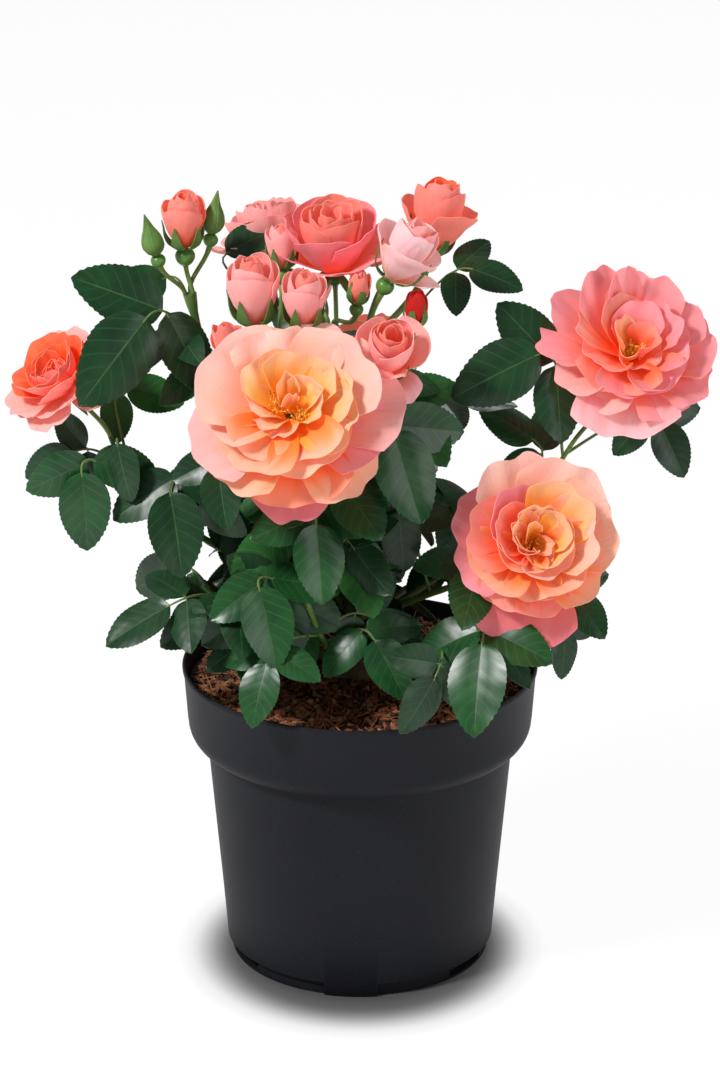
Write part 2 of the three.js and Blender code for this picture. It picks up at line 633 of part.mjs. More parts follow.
// The closed body of a bud; a small one draws out to a point.
function budParts(flower, toFlower) {
  const width = flower.width;
  const shares = width > 18 ? [0.34, 0.5, 0.44, 0.24] : [0.4, 0.5, 0.34, 0.1];
  const height = width > 18 ? width * 1.3 : width * 1.9;
  return [roundBody(-1, height, shares.map((share) => share * width), 7, toFlower)];
}

// The whorls of petals of an open flower, and the turned-back sepals of a small one.
function bloomParts(flower, toFlower) {
  const parts = WHORLS[flower.kind].map((whorl, row) => {
    return lobedBowl(whorl, flower.width, 0.5 * row + flower.width, toFlower);
  });
  if (flower.width < 80) parts.push(lobedBowl(SEPAL_STAR, flower.kind === 'half' ? 15 : 19, 0.3, toFlower));
  return parts;
}

// Leaves set by the shoot's own rule: spaced along the stem, each turned on from the last.
function ruledLeaves(shoot, number) {
  const next = seeded(101 + number * 37);
  const curve = shootCurve(shoot);
  const rows = [];
  for (let i = 0; i < shoot.leaves; i += 1) {
    const at = shoot.bare + 0.06 + (0.9 - shoot.bare) * ((i + 0.6) / shoot.leaves);
    const turn = rad(shoot.turn + LEAF_TURN * i + (next() - 0.5) * 40);
    const rise = rad(28 + (next() - 0.5) * 24);
    const stalk = 26 + next() * 14;
    const blade = 36 + next() * 14;
    const out = new THREE.Vector3(Math.cos(turn), Math.sin(turn), 0);
    const foot = curve.getPoint(at).addScaledVector(out, stalk * Math.cos(rise));
    foot.z += stalk * Math.sin(rise);
    const tip = foot.clone().addScaledVector(out, blade * 0.86);
    tip.z -= blade * 0.5;
    rows.push([at, foot, tip, 1, PLAIN_STATIONS]);
  }
  return rows;
}

// A shoot's leafy stem, thickened at its tip where several stalks stand on it.
function makeStem(name) {
  const shoot = SHOOTS[name];
  const curve = shootCurve(shoot);
  const { ring } = stalkFeet(name, shoot);
  const stem = limb(curve, stemStart(shoot), 1, CANE_END_RADIUS, STEM_TIP_RADIUS + ring * 0.35, 5, 6);
  return ring > 0 ? stem.add(limb(curve, 0.965, 1, STEM_TIP_RADIUS, ring + STALK_RADIUS, 6, 1)) : stem;
}

// The longest-reaching leaves of a shoot.
function reachLeaves(shoot) {
  return shoot.reach.map(([at, foot, tip, pairs]) => [at, vec(foot), vec(tip), pairs, FINE_STATIONS]);
}

// A leaf with as many of its pairs as stay clear of everything else, or none.
function fittingLeaf(shoot, [at, foot, tip, pairs, stations], others) {
  const root = shootCurve(shoot).getPoint(Math.max(at, shoot.bare + 0.04));
  for (let count = pairs; count >= 0; count -= 1) {
    const leaf = compoundLeaf(root, foot, tip, count, stations);
    if (isClear(leaf, others)) return leaf;
  }
  return null;
}

// The masses of foliage, one a shoot: each stem with its leaves, the reaching ones placed first.
function growFoliage(names, fixed) {
  const masses = names.map((name) => [makeStem(name)]);
  for (const leavesOf of [reachLeaves, ruledLeaves]) {
    names.forEach((name, number) => {
      const others = [...fixed, ...masses.filter((mass, index) => index !== number).flat()];
      const rows = leavesOf(SHOOTS[name], number);
      const leaves = rows.map((row) => fittingLeaf(SHOOTS[name], row, others));
      masses[number].push(...leaves.filter((leaf) => leaf !== null));
    });
  }
  return masses.map(fuse);
}

// A named mesh with its own material.
function meshOf(name, solid, look) {
  const { vertProperties, triVerts } = solid.getMesh();
  const geometry = new THREE.BufferGeometry();
  geometry.setAttribute('position', new THREE.BufferAttribute(new Float32Array(vertProperties), 3));
  geometry.setIndex(Array.from(triVerts));
  geometry.computeVertexNormals();
  const mesh = new THREE.Mesh(geometry, new THREE.MeshStandardMaterial(look));
  mesh.name = name;
  return mesh;
}

const LOOKS = {
  pot: { color: 0x2b2d31, roughness: 0.55, metalness: 0 },
  soil: { color: 0x6b3f24, roughness: 0.95, metalness: 0 },
  wood: { color: 0x6d6a3a, roughness: 0.8, metalness: 0 },
  leaf: { color: 0x23502f, roughness: 0.5, metalness: 0 },
  petal: { color: 0xf2826b, roughness: 0.6, metalness: 0 },
};

// Builds every sub-part, each clear of those before it.
function makeBush() {
  const solids = { pot: makePot(), soil: makeSoil(), stub: makeStub() };
  const looks = { pot: 'pot', soil: 'soil', stub: 'wood' };
  const names = Object.keys(SHOOTS);
  for (const name of names) {
    solids[`cane_${name}`] = makeCane(SHOOTS[name]);
    looks[`cane_${name}`] = 'wood';
  }
  for (const name of Object.keys(FLOWERS)) {
    solids[name] = makeFlower(name, Object.values(solids));
    looks[name] = 'petal';
  }
  growFoliage(names, Object.values(solids)).forEach((mass, number) => {
    solids[`leaves_${names[number]}`] = mass;
    looks[`leaves_${names[number]}`] = 'leaf';
  });
  const group = new THREE.Group();
  for (const [name, solid] of Object.entries(solids)) group.add(meshOf(name, solid, LOOKS[looks[name]]));
  return group;
}

export default makeBush();
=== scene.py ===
import math

import bpy
import numpy as np
from mathutils import Matrix, Vector


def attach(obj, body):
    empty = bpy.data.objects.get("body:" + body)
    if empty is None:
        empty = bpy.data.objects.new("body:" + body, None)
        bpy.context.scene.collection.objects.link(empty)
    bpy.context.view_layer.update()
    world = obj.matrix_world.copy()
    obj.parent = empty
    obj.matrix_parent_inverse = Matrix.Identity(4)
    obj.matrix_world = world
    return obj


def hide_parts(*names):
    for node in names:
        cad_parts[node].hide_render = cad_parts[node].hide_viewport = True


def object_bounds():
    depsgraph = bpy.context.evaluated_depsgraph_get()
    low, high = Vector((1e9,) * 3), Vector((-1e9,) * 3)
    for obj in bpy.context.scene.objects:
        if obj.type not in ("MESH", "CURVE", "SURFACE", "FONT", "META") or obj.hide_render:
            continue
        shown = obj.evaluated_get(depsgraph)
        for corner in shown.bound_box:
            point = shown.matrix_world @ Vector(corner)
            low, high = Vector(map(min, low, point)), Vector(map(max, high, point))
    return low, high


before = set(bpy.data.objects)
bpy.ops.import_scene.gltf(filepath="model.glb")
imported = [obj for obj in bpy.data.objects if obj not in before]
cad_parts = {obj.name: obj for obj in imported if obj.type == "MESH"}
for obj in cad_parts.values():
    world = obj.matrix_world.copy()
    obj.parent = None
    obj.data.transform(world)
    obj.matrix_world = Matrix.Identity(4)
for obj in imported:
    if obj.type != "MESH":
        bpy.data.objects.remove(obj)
solids_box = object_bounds()

MM = 0.001
SHARP_ANGLE = math.radians(55)
WHITE = (255, 255, 255)
BLACK = (0, 0, 0)

# The pot and the soil.
RIM_RADIUS = 113.0
POT_HEIGHT = 196.0
COLLAR_FOOT_RADIUS = 109.5
COLLAR_FOOT_HEIGHT = 158.0
STEP_HEIGHT = 144.0
STEP_RADIUS = 97.5
BASE_RADIUS = 84.5
FOOT_HEIGHT = 9.0
FOOT_INSET = 2.0
PAD_HALF_ANGLE = 11.5
NOTCH_HALF_ANGLE = 12.0
NOTCH_DEPTH = 7.0
FOOT_TURN = -4.0
WALL = 2.2
FLOOR = 12.0
BASE_BEVEL = 0.4
SHOULDER_STEPS = 8
SHOULDER_LIFT = 0.6
POT_SIDES = 180
SOIL_EDGE_HEIGHT = 183.0
SOIL_TOP_HEIGHT = 187.0
SOIL_SIDES = 96
SOIL_ROUND = 105.0
SOIL_EDGE_RADIUS = COLLAR_FOOT_RADIUS - 0.6
SOIL_RINGS = 44
CHIP_COUNT = 3600
LITTER_RADIUS = 106.0
FIBRE_SHARE = 0.24
CHIP_SHARES = (0.45, 0.35, 0.2)

# The rim's lip: places inwards and down from its outer top corner.
LIP = (
    (1.0, 5), (0.2, 3.6), (0, 2.4), (0, 1.2),
    (0.4, 0.3), (1.0, 0), (1.7, 0.3), (WALL, 1.4),
)
NOTCH_LOW = 1.6

# The woody stub and the shoots.
STUB_TOP = 216.0
STUB_NECK_RADIUS = 12.0
STUB_KNUCKLE_RADIUS = 15.0
STUB_FLARE_RADIUS = 18.0
STUB_LEAN = 2.0
JOINT_GAP = 0.45
SEAT_GAP = 0.35
CANE_FOOT_RADIUS = 2.8
CANE_END_RADIUS = 2.3
STEM_TIP_RADIUS = 1.5
CANE_RING = 10.4
INNER_RING = 3.4
SIDE_EXIT_HEIGHT = 201.0
STALK_RADIUS = 1.2
LEAF_TURN = 144.0
LEAF_FOLD = 0.2
FRONT_LEAVES = 34.0
PAIR_SPREAD = 70.0
PAIR_SETBACK = 0.25
PAIR_SPACING = 0.53
BARE_STALK = 6.0
FINER_LEAVES = 3
LIMB_RINGS = 34
LIMB_SIDES = 10
PRICKLES = 7

# A leaflet's mesh, its teeth and veins as parts of its length, and how the leaves share the skins.
LEAF_ROWS = 32
LEAF_COLUMNS = (-1.0, -0.7, -0.36, -0.03, 0.03, 0.36, 0.7, 1.0)
BLADE_THICKNESS = 0.35
TOOTH_OUT = 0.009
TOOTH_FORWARD = 0.012
QUILT = 0.003
VEIN_SLANT = 0.24
VEINS_RAISED = 5
VEINS_DRAWN = 7.0
UNDER_SLOT, RIB_SLOT, UNDER_RIB_SLOT = 3, 4, 5
STALK_RINGS = 15
SKIN_SHARES = (0.5, 0.38, 0.12)

# Each shoot: slot on the stub, bend, tip, bare part, leaves set by rule, first turn, and its
# longest-reaching leaves as (place along it, end leaflet's foot, end leaflet's tip, pairs).
SHOOTS = {
    "left_low": (200, (-131, -25, 282), (-154, -30, 358), 0.5, 2, 20, [
        (0.86, (-171, -50, 342), (-166, -62, 294), 1),
        (0.94, (-149, -42, 358), (-143, -58, 326), 0),
        (0.9, (-145, 5, 379), (-110, 5, 366), 1),
    ]),
    "left_top": (160, (-84, 0, 325), (-105, 0, 441), 0.42, 2, 80, [
        (0.9, (-130, -35, 437), (-167, -75, 399), 1),
        (0.97, (-120, 10, 448), (-158, -5, 437), 0),
        (0.6, (-117, -52, 330), (-107, -75, 283), 2),
        (0.55, (-86, -80, 357), (-82, -96, 322), 1),
    ]),
    "centre_left": (240, (-42, -22, 320), (-50, -22, 396), 0.42, 3, 190, []),
    "centre_top": (-1, (-14, 18, 318), (-17, 12, 416), 0.4, 4, 95, [
        (0.93, (-83, 30, 457), (-50, 35, 478), 0),
    ]),
    "right_top": (-2, (8, 0, 310), (4, -5, 394), 0.4, 3, 20, [
        (0.62, (20, -70, 377), (36, -92, 324), 1),
        (0.97, (68, 22, 450), (101, 10, 444), 1),
        (0.8, (61, -5, 373), (98, -5, 372), 1),
    ]),
    "front": (280, (-29, -31, 275), (-36, -52, 345), 0.45, 2, 308, [
        (0.74, (-27, -85, 322), (-22, -108, 278), 1),
        (0.6, (-14, -48, 312), (16, -60, 318), 0),
    ]),
    "right": (0, (86, 20, 250), (131, -4, 342), 0.45, 2, 250, [
        (0.97, (111, -15, 407), (58, -35, 389), 1),
        (0.98, (187, 5, 354), (204, -8, 324), 1),
        (0.8, (109, 5, 343), (77, 10, 366), 1),
    ]),
    "right_low": (320, (60, -20, 248), (93, -46, 283), 0.4, 2, 60, [
        (0.9, (132, -60, 265), (152, -75, 243), 1),
        (0.7, (128, -40, 233), (128, -50, 204), 1),
        (0.66, (64, -20, 310), (54, -25, 274), 0),
        (0.55, (24, -40, 313), (27, -50, 275), 1),
    ]),
    "back_left": (120, (-48, 55, 250), (-58, 84, 312), 0.4, 5, 120, []),
    "back": (80, (5, 50, 280), (6, 72, 352), 0.38, 6, 30, []),
    "back_right": (40, (60, 45, 235), (82, 76, 258), 0.42, 5, 40, []),
    "low_left": (205, (-62, -42, 225), (-97, -60, 271), 0.35, 2, 120, [
        (0.94, (-117, -75, 264), (-158, -85, 244), 2),
        (0.8, (-70, -30, 274), (-97, -40, 258), 1),
    ]),
    "low_front": (252, (-26, -62, 225), (-37, -75, 286), 0.3, 1, 200, [
        (0.9, (-62, -85, 280), (-49, -110, 238), 1),
        (0.55, (-68, -75, 241), (-96, -82, 226), 0),
        (0.66, (-57, -100, 236), (-67, -122, 204), 1),
        (0.6, (9, -70, 239), (28, -95, 211), 1),
    ]),
    "low_right": (322, (48, -50, 222), (88, -68, 252), 0.35, 2, 40, [
        (0.9, (75, -88, 244), (68, -126, 201), 2),
        (0.64, (46, -103, 228), (28, -123, 198), 1),
    ]),
    "low_back": (100, (-14, 58, 226), (-22, 92, 262), 0.35, 4, 60, []),
}

# The camera of the front view, and the gaps in the crown seen there, in millimetres from the middle
# of that view: (right, up, half width, half height).
VIEW_HEIGHT = 278.0
VIEW_DISTANCE = 2864.0
VIEW_PITCH = math.radians(21.24)
VIEW_LENS = 151.667
SKY = [
    (-112, 79, 11, 21), (-129, 46, 11, 11), (-161, -16, 35, 8),
    (58, 149, 23, 11), (64, 68, 18, 13), (102, 63, 31, 9),
    (48, -25, 19, 10), (-9, 145, 10, 10), (181, 6, 21, 44),
    (-208, 69, 25, 9), (88, 164, 19, 11), (35, 9, 8, 13),
    (-183, -31, 19, 19), (-69, 151, 13, 9),
]

# Each flower: shoot, how far open, middle, the way it faces, width, and its petals' palette.
FLOWERS = {
    "bloom_front": ("front", "open", (-42, -95, 398), (0, -0.66, 0.75), 121, "apricot"),
    "bloom_right": ("right", "open", (167, -12, 407), (0.08, -0.5, 0.86), 106, "salmon"),
    "bloom_right_low": ("right_low", "cup", (107, -85, 312), (0.1, -0.8, 0.59), 104, "apricot"),
    "bloom_left": ("left_low", "cup", (-188, -28, 399), (-0.5, -0.4, 0.77), 71, "flame"),
    "bloom_top": ("centre_top", "goblet", (-17, 10, 472), (-0.05, -0.25, 0.97), 56, "coral"),
    "bloom_top_left": ("centre_top", "goblet", (-55, 60, 460), (-0.2, 0.15, 0.97), 54, "blush"),
    "bloom_top_right": ("right_top", "half", (47, 38, 475), (0.2, 0.1, 0.96), 42, "coral"),
    "bud_pale": ("right_top", "half", (27, -26, 474), (0.5, -0.1, 0.87), 37, "pale"),
    "bud_turned": ("right_top", "half", (18, -60, 423), (0.06, -0.62, 0.78), 37, "blush"),
    "bud_red": ("right_top", "bud", (34, -24, 436), (0.05, -0.1, 0.99), 14, "scarlet"),
    "bud_trio_mid": ("left_top", "bud", (-108, 0, 486), (-0.02, -0.1, 0.99), 26, "coral"),
    "bud_trio_left": ("left_top", "bud", (-127, -10, 478), (-0.25, -0.1, 0.96), 15, "green"),
    "bud_trio_right": ("left_top", "bud", (-90, 10, 486), (0.15, 0.05, 0.98), 15, "green"),
    "bud_pair_left": ("centre_left", "bud", (-65, -35, 452), (-0.05, -0.15, 0.98), 32, "blush"),
    "bud_pair_right": ("centre_left", "bud", (-34, -45, 450), (0.06, -0.2, 0.97), 27, "blush"),
    "bud_small_left": ("centre_left", "bud", (-48, 6, 468), (0, 0.1, 0.99), 20, "blush"),
    "bud_small_right": ("centre_top", "bud", (-1, -24, 450), (0.1, -0.1, 0.99), 13, "coral"),
    "bloom_back": ("back", "cup", (10, 102, 378), (0.1, 0.66, 0.75), 60, "apricot"),
    "bloom_back_left": ("back_left", "open", (-60, 118, 338), (-0.3, 0.8, 0.52), 88, "salmon"),
    "bloom_back_right": ("back_right", "open", (111, 104, 259), (0.5, 0.7, 0.5), 72, "apricot"),
    "bud_back": ("back", "half", (-36, 70, 410), (-0.25, 0.3, 0.92), 34, "blush"),
    "bud_back_left": ("back_left", "bud", (-84, 78, 380), (-0.2, 0, 0.97), 20, "coral"),
}

# How far below its middle a flower's petals start, and how far down the leaves keep clear of it, as
# parts of its width.
HIP_DEPTH = {"bud": 0.62, "half": 0.5, "open": 0.08, "cup": 0.22, "goblet": 0.42}
BLOOM_DEPTH = {"open": 0.12, "cup": 0.25, "goblet": 0.45, "half": 0.55, "bud": 0.6}

# Buds narrower than the first stay tight and long, blooms wider than the second have no whorls but
# only petals of their own, and the third is the number of stamens in a tuft.
SMALL_BUD = 18
GREAT_BLOOM = 100
STAMENS = 46

# The meshes of a petal and a sepal.
PETAL_ROWS = 17
PETAL_COLUMNS = 19
PETAL_THICKNESS = 0.44
SEPAL_ROWS = 10
SEPAL_COLUMNS = 5
SEPAL_THICKNESS = 0.6

# Whorls of petals for each kind, from the outside in: (how many, foot radius, foot height, lean at
# foot and tip in degrees, length, half breadth, cup as a multiple of the radius there, roll of the
# rim, ruffle). Radius, height, length, breadth, roll and ruffle are thousandths of the flower's width.
WHORLS = {
    "open": [
        (6, 30, 0, (84, 92), 500, 255, 3.2, 50, 14),
        (6, 30, 10, (70, 80), 450, 235, 2.4, 40, 14),
        (6, 30, 20, (58, 62), 380, 195, 1.9, 30, 14),
        (5, 20, 30, (46, 40), 290, 150, 1.5, 20, 12),
        (5, 20, 30, (34, 18), 200, 85, 1.0, -20, 20),
        (4, 10, 30, (20, 6), 150, 60, 0.8, -20, 20),
    ],
    "cup": [
        (5, 30, 0, (80, 84), 500, 270, 2.4, 50, 10),
        (6, 30, 10, (72, 48), 500, 270, 1.6, 20, 10),
        (6, 30, 20, (66, 22), 480, 250, 1.3, 0, 10),
        (6, 30, 30, (60, 6), 410, 215, 1.1, -10, 10),
        (6, 20, 40, (50, -4), 330, 160, 1.0, -20, 12),
        (6, 20, 40, (34, 0), 260, 105, 0.9, -20, 20),
        (4, 10, 40, (16, 4), 200, 70, 0.8, -20, 20),
    ],
    "goblet": [
        (4, 40, 0, (66, 38), 800, 400, 1.4, 70, 10),
        (5, 40, 10, (60, 6), 840, 390, 1.1, 40, 10),
        (5, 30, 20, (50, -8), 840, 330, 1.0, 30, 10),
        (4, 30, 30, (38, -10), 820, 250, 1.0, 20, 12),
        (3, 20, 40, (22, -6), 800, 150, 1.0, 10, 12),
    ],
    "half": [
        (3, 50, 0, (54, 12), 920, 500, 1.2, 100, 8),
        (3, 40, 20, (46, -14), 1100, 500, 1.0, 50, 8),
        (3, 40, 30, (38, -18), 1140, 400, 1.0, 30, 8),
        (3, 30, 40, (26, -14), 1140, 260, 1.0, 20, 8),
    ],
    "bud": [
        (3, 60, 0, (52, -14), 1260, 560, 1.02, 80, 3),
        (3, 50, 20, (46, -24), 1400, 500, 1.0, 50, 3),
        (3, 40, 40, (34, -22), 1380, 360, 1.0, 30, 3),
        (2, 20, 40, (18, -10), 1320, 220, 1.0, 10, 3),
    ],
}

# The great blooms, petal by petal from the back to the heart, and single petals that stand apart from
# the whorls of the others: (turn, foot height, lean at foot and tip, length, half breadth, cup, roll of
# the rim, ruffle, palette), in the units of the whorls.
PETAL_FOOT = 30
PETALS = {
    "bloom_front": [
        (268, -50, 108, 114, 480, 210, 3.2, 20, 10, "rose"),
        (285, -40, 106, 110, 440, 130, 3.0, 30, 8, "rose"),
        (118, -20, 76, 70, 470, 270, 2.4, 30, 30, "peach"),
        (58, -20, 76, 72, 520, 280, 2.4, 50, 26, "peach"),
        (12, -20, 78, 86, 560, 290, 2.6, 60, 18, "blush"),
        (198, -20, 80, 92, 490, 270, 2.4, 50, 18, "blush"),
        (222, -20, 84, 96, 460, 250, 2.6, 50, 14, "amber"),
        (276, -30, 90, 104, 430, 290, 2.2, 30, 8, "ember"),
        (320, -20, 86, 98, 480, 250, 2.6, 70, 12, "amber"),
        (345, -10, 80, 84, 460, 260, 2.2, 50, 16, "salmon"),
        (150, 0, 70, 60, 490, 340, 2.0, 30, 16, "peach"),
        (92, 0, 68, 56, 430, 300, 2.0, 40, 25, "peach"),
        (38, 0, 68, 60, 480, 300, 2.0, 30, 18, "peach"),
        (182, 10, 70, 72, 420, 250, 1.8, 20, 14, "peach"),
        (228, 10, 70, 84, 380, 270, 1.8, 30, 17, "amber"),
        (262, 20, 66, 80, 300, 350, 1.6, 0, 18, "amber"),
        (296, 10, 66, 78, 360, 250, 1.7, 20, 17, "amber"),
        (334, 20, 60, 62, 360, 220, 1.5, 20, 14, "gold"),
        (8, 20, 56, 44, 360, 200, 1.3, 20, 15, "gold"),
        (62, 30, 50, 34, 320, 230, 1.2, 10, 16, "gold"),
        (124, 30, 54, 40, 330, 190, 1.3, 10, 17, "gold"),
        (352, 30, 46, 20, 260, 150, 0.9, 0, 13, "gold"),
        (28, 30, 40, 14, 270, 120, 0.7, 0, 13, "gold"),
        (168, 30, 52, 40, 240, 130, 0.9, 20, 16, "folded"),
        (206, 30, 54, 52, 200, 110, 0.8, 20, 16, "folded"),
        (98, 30, 34, 2, 250, 90, 0.6, 0, 16, "gold"),
        (250, 30, 60, 66, 170, 100, 0.7, 0, 16, "folded"),
        (72, 30, 12, -14, 190, 50, 0.4, 0, 16, "folded"),
    ],
    "bloom_right_low": [
        (268, -60, 104, 106, 550, 330, 4.0, 20, 6, "rose"),
        (196, -40, 84, 80, 420, 240, 2.2, 50, 16, "salmon"),
        (152, -30, 80, 72, 480, 240, 2.2, 50, 20, "salmon"),
        (226, -40, 86, 88, 370, 270, 2.0, 40, 8, "coral"),
        (262, -30, 84, 84, 350, 290, 1.9, 30, 8, "coral"),
        (304, -30, 82, 80, 390, 300, 1.9, 40, 14, "coral"),
        (342, -20, 78, 68, 450, 310, 1.8, 30, 14, "amber"),
        (22, -20, 74, 60, 510, 310, 1.8, 20, 12, "apricot"),
        (64, -20, 72, 58, 550, 300, 1.7, 30, 16, "peach"),
        (108, -20, 74, 62, 540, 280, 1.8, 30, 18, "peach"),
        (176, 0, 70, 54, 410, 260, 1.4, 20, 11, "coral"),
        (214, 0, 72, 62, 400, 270, 1.4, 20, 10, "amber"),
        (252, 0, 74, 66, 330, 280, 1.5, 20, 10, "amber"),
        (290, 0, 74, 64, 330, 280, 1.5, 20, 10, "amber"),
        (330, 10, 68, 48, 390, 280, 1.3, 10, 8, "amber"),
        (8, 10, 62, 38, 440, 280, 1.2, 10, 8, "apricot"),
        (50, 10, 60, 32, 470, 260, 1.1, 10, 12, "gold"),
        (132, 10, 60, 30, 410, 220, 1.1, 10, 10, "salmon"),
        (162, 20, 54, 24, 370, 200, 1.0, 0, 10, "coral"),
        (194, 20, 54, 26, 340, 180, 1.0, 0, 11, "coral"),
        (230, 20, 56, 36, 290, 230, 1.0, 0, 11, "amber"),
        (312, 20, 56, 36, 300, 260, 1.0, 20, 12, "apricot"),
        (346, 20, 50, 24, 320, 260, 1.0, 0, 8, "gold"),
        (30, 20, 46, 16, 340, 180, 0.9, 0, 10, "gold"),
        (84, 20, 44, 12, 340, 160, 0.9, 0, 11, "gold"),
        (148, 30, 40, 10, 320, 170, 0.8, 0, 13, "folded"),
        (180, 30, 38, 10, 290, 140, 0.7, 0, 13, "folded"),
        (212, 30, 38, 14, 250, 130, 0.7, 0, 13, "folded"),
        (296, 30, 40, 30, 200, 160, 0.7, 30, 18, "folded"),
        (330, 30, 30, 14, 200, 120, 0.6, 20, 18, "folded"),
        (110, 30, 22, 0, 270, 90, 0.6, 0, 14, "gold"),
    ],
    "bloom_right": [
        (268, -30, 92, 122, 450, 330, 2.4, 50, 20, "skirt"),
        (232, -30, 90, 106, 360, 220, 2.2, 30, 21, "blush"),
        (318, -30, 90, 96, 410, 250, 2.2, 30, 18, "salmon"),
        (346, -20, 84, 84, 460, 260, 2.0, 30, 30, "salmon"),
        (14, -20, 76, 66, 500, 260, 2.0, 30, 30, "salmon"),
        (44, -10, 64, 50, 490, 250, 1.8, 30, 26, "salmon"),
        (76, -10, 52, 30, 520, 240, 1.8, 30, 24, "salmon"),
        (104, -10, 46, 14, 580, 120, 1.4, 0, 20, "salmon"),
        (124, -10, 54, 36, 560, 200, 1.6, 30, 22, "salmon"),
        (150, -10, 66, 60, 570, 200, 1.8, 20, 18, "salmon"),
        (176, -10, 78, 76, 540, 190, 1.8, 20, 20, "salmon"),
        (204, -20, 84, 92, 440, 190, 2.0, 20, 18, "blush"),
        (250, 10, 76, 84, 290, 290, 1.6, 20, 14, "coral"),
        (284, 10, 76, 82, 300, 310, 1.6, 20, 14, "salmon"),
        (322, 10, 70, 70, 310, 300, 1.5, 20, 14, "salmon"),
        (356, 10, 60, 52, 360, 210, 1.4, 20, 17, "salmon"),
        (34, 20, 48, 30, 370, 200, 1.2, 20, 17, "salmon"),
        (76, 20, 40, 12, 340, 200, 1.1, 30, 14, "salmon"),
        (118, 20, 44, 20, 390, 170, 1.2, 10, 14, "coral"),
        (164, 20, 58, 44, 400, 170, 1.3, 10, 14, "coral"),
        (210, 20, 62, 60, 290, 210, 1.3, 10, 14, "coral"),
        (300, 20, 54, 50, 200, 200, 1.0, 10, 16, "coral"),
        (10, 30, 38, 20, 240, 170, 0.8, 10, 16, "coral"),
        (140, 30, 34, 8, 270, 130, 0.8, 0, 13, "folded"),
        (250, 30, 34, 24, 140, 130, 0.7, 0, 14, "gold"),
    ],
    "bud_turned": [
        (300, -20, 70, 112, 720, 360, 1.6, 80, 20, "skirt"),
    ],
    "bud_pale": [
        (0, -10, 66, 56, 800, 260, 1.5, 60, 10, "pale"),
    ],
}

# Where the stamens of a flower stand in more than one tuft, across its face.
TUFTS = {"bloom_front": [(-9, 3), (7, -6)], "bloom_right_low": [(0, 0), (-3, 7)]}

# The two outer whorls of a flower wear a paler shade than its middle, and the inner ones of a bud
# a deeper one.
OUTER = {"flame": "blush", "coral": "salmon", "salmon": "blush"}
INNER = {"blush": "coral", "pale": "blush", "coral": "flame"}

# Petals whose golden foot doesn't reach far up; on the others it reaches further, partly their own golden
# foot and partly painted orange shade between overlapping petals.
PALE = ("peach", "blush", "pale", "skirt")

# Colours of the petals, as drawn: foot, middle, rim, and the outer face of the petal.
PALETTES = {
    "apricot": ((255, 134, 24), (251, 176, 138), (250, 186, 170), (246, 146, 124)),
    "peach": ((255, 158, 66), (250, 182, 156), (250, 190, 180), (247, 158, 146)),
    "amber": ((255, 116, 16), (252, 142, 82), (250, 178, 154), (246, 136, 100)),
    "gold": ((255, 150, 12), (253, 184, 98), (251, 184, 150), (248, 150, 100)),
    "folded": ((255, 136, 22), (251, 170, 118), (249, 180, 156), (246, 148, 112)),
    "salmon": ((253, 112, 50), (245, 138, 136), (246, 148, 158), (243, 130, 138)),
    "coral": ((255, 86, 20), (249, 122, 88), (248, 150, 140), (245, 134, 122)),
    "ember": ((254, 84, 10), (252, 118, 54), (248, 148, 122), (238, 108, 90)),
    "rose": ((238, 110, 84), (230, 108, 110), (231, 122, 130), (224, 104, 112)),
    "skirt": ((251, 116, 90), (245, 144, 146), (249, 186, 192), (241, 142, 150)),
    "flame": ((255, 70, 6), (254, 88, 30), (250, 118, 84), (247, 142, 134)),
    "blush": ((254, 120, 66), (249, 158, 146), (250, 174, 172), (247, 160, 158)),
    "pale": ((250, 164, 130), (248, 180, 176), (249, 204, 204), (249, 194, 196)),
    "scarlet": ((200, 34, 20), (204, 38, 30), (220, 66, 52), (200, 32, 28)),
    "green": ((110, 136, 56), (120, 144, 64), (196, 112, 80), (104, 136, 62)),
}

# The painted contact shadow on the floor: its greys, as drawn, by distance in metres from the middle of the
# pot's foot.
FLOOR_SHADOW_GREYS = (
    (0.070, 18), (0.084, 70), (0.092, 130),
    (0.100, 190), (0.108, 234), (0.120, 252),
)

# Lights: name, place in metres, size and power. All of them point at the same place.
LIGHTS = (
    ("key_light", (-1.45, -1.1, 2.0), 0.4, 56),
    ("fill_light", (1.5, -1.2, 1.0), 1.0, 9),
    ("back_light", (0.5, 1.6, 2.0), 1.0, 16),
)
LIT_PLACE = (0, 0, 0.3)


# ---------------------------------------------------------------- small helpers

def seeded(seed):
    """The source's repeatable row of numbers between 0 and 1."""
    state = seed

    def following():
        nonlocal state
        state = (state * 1664525 + 1013904223) & 0xFFFFFFFF
        return state / 4294967296

    return following


def unit(v):
    v = np.asarray(v, float)
    return v / np.maximum(np.linalg.norm(v, axis=-1, keepdims=True), 1e-9)


def turned_about(v, axis, angle):
    """v turned about a unit axis."""
    c, s = math.cos(angle), math.sin(angle)
    return v * c + np.cross(axis, v) * s + axis * np.dot(axis, v) * (1 - c)


def linear(colour):
    c = np.asarray(colour, float) / 255
    return np.where(c <= 0.04045, c / 12.92, ((c + 0.055) / 1.055) ** 2.4)


def bezier(p0, p1, p2, p3, t):
    t = np.asarray(t, float)[..., None]
    return (1 - t) ** 3 * p0 + 3 * (1 - t) ** 2 * t * p1 + 3 * (1 - t) * t * t * p2 + t ** 3 * p3


def bezier_way(p0, p1, p2, p3, t):
    t = np.asarray(t, float)[..., None]
    return unit(3 * (1 - t) ** 2 * (p1 - p0) + 6 * (1 - t) * t * (p2 - p1) + 3 * t * t * (p3 - p2))


def opaque(colour):
    """A colour as drawn, ready for a shader."""
    return (*linear(colour), 1)


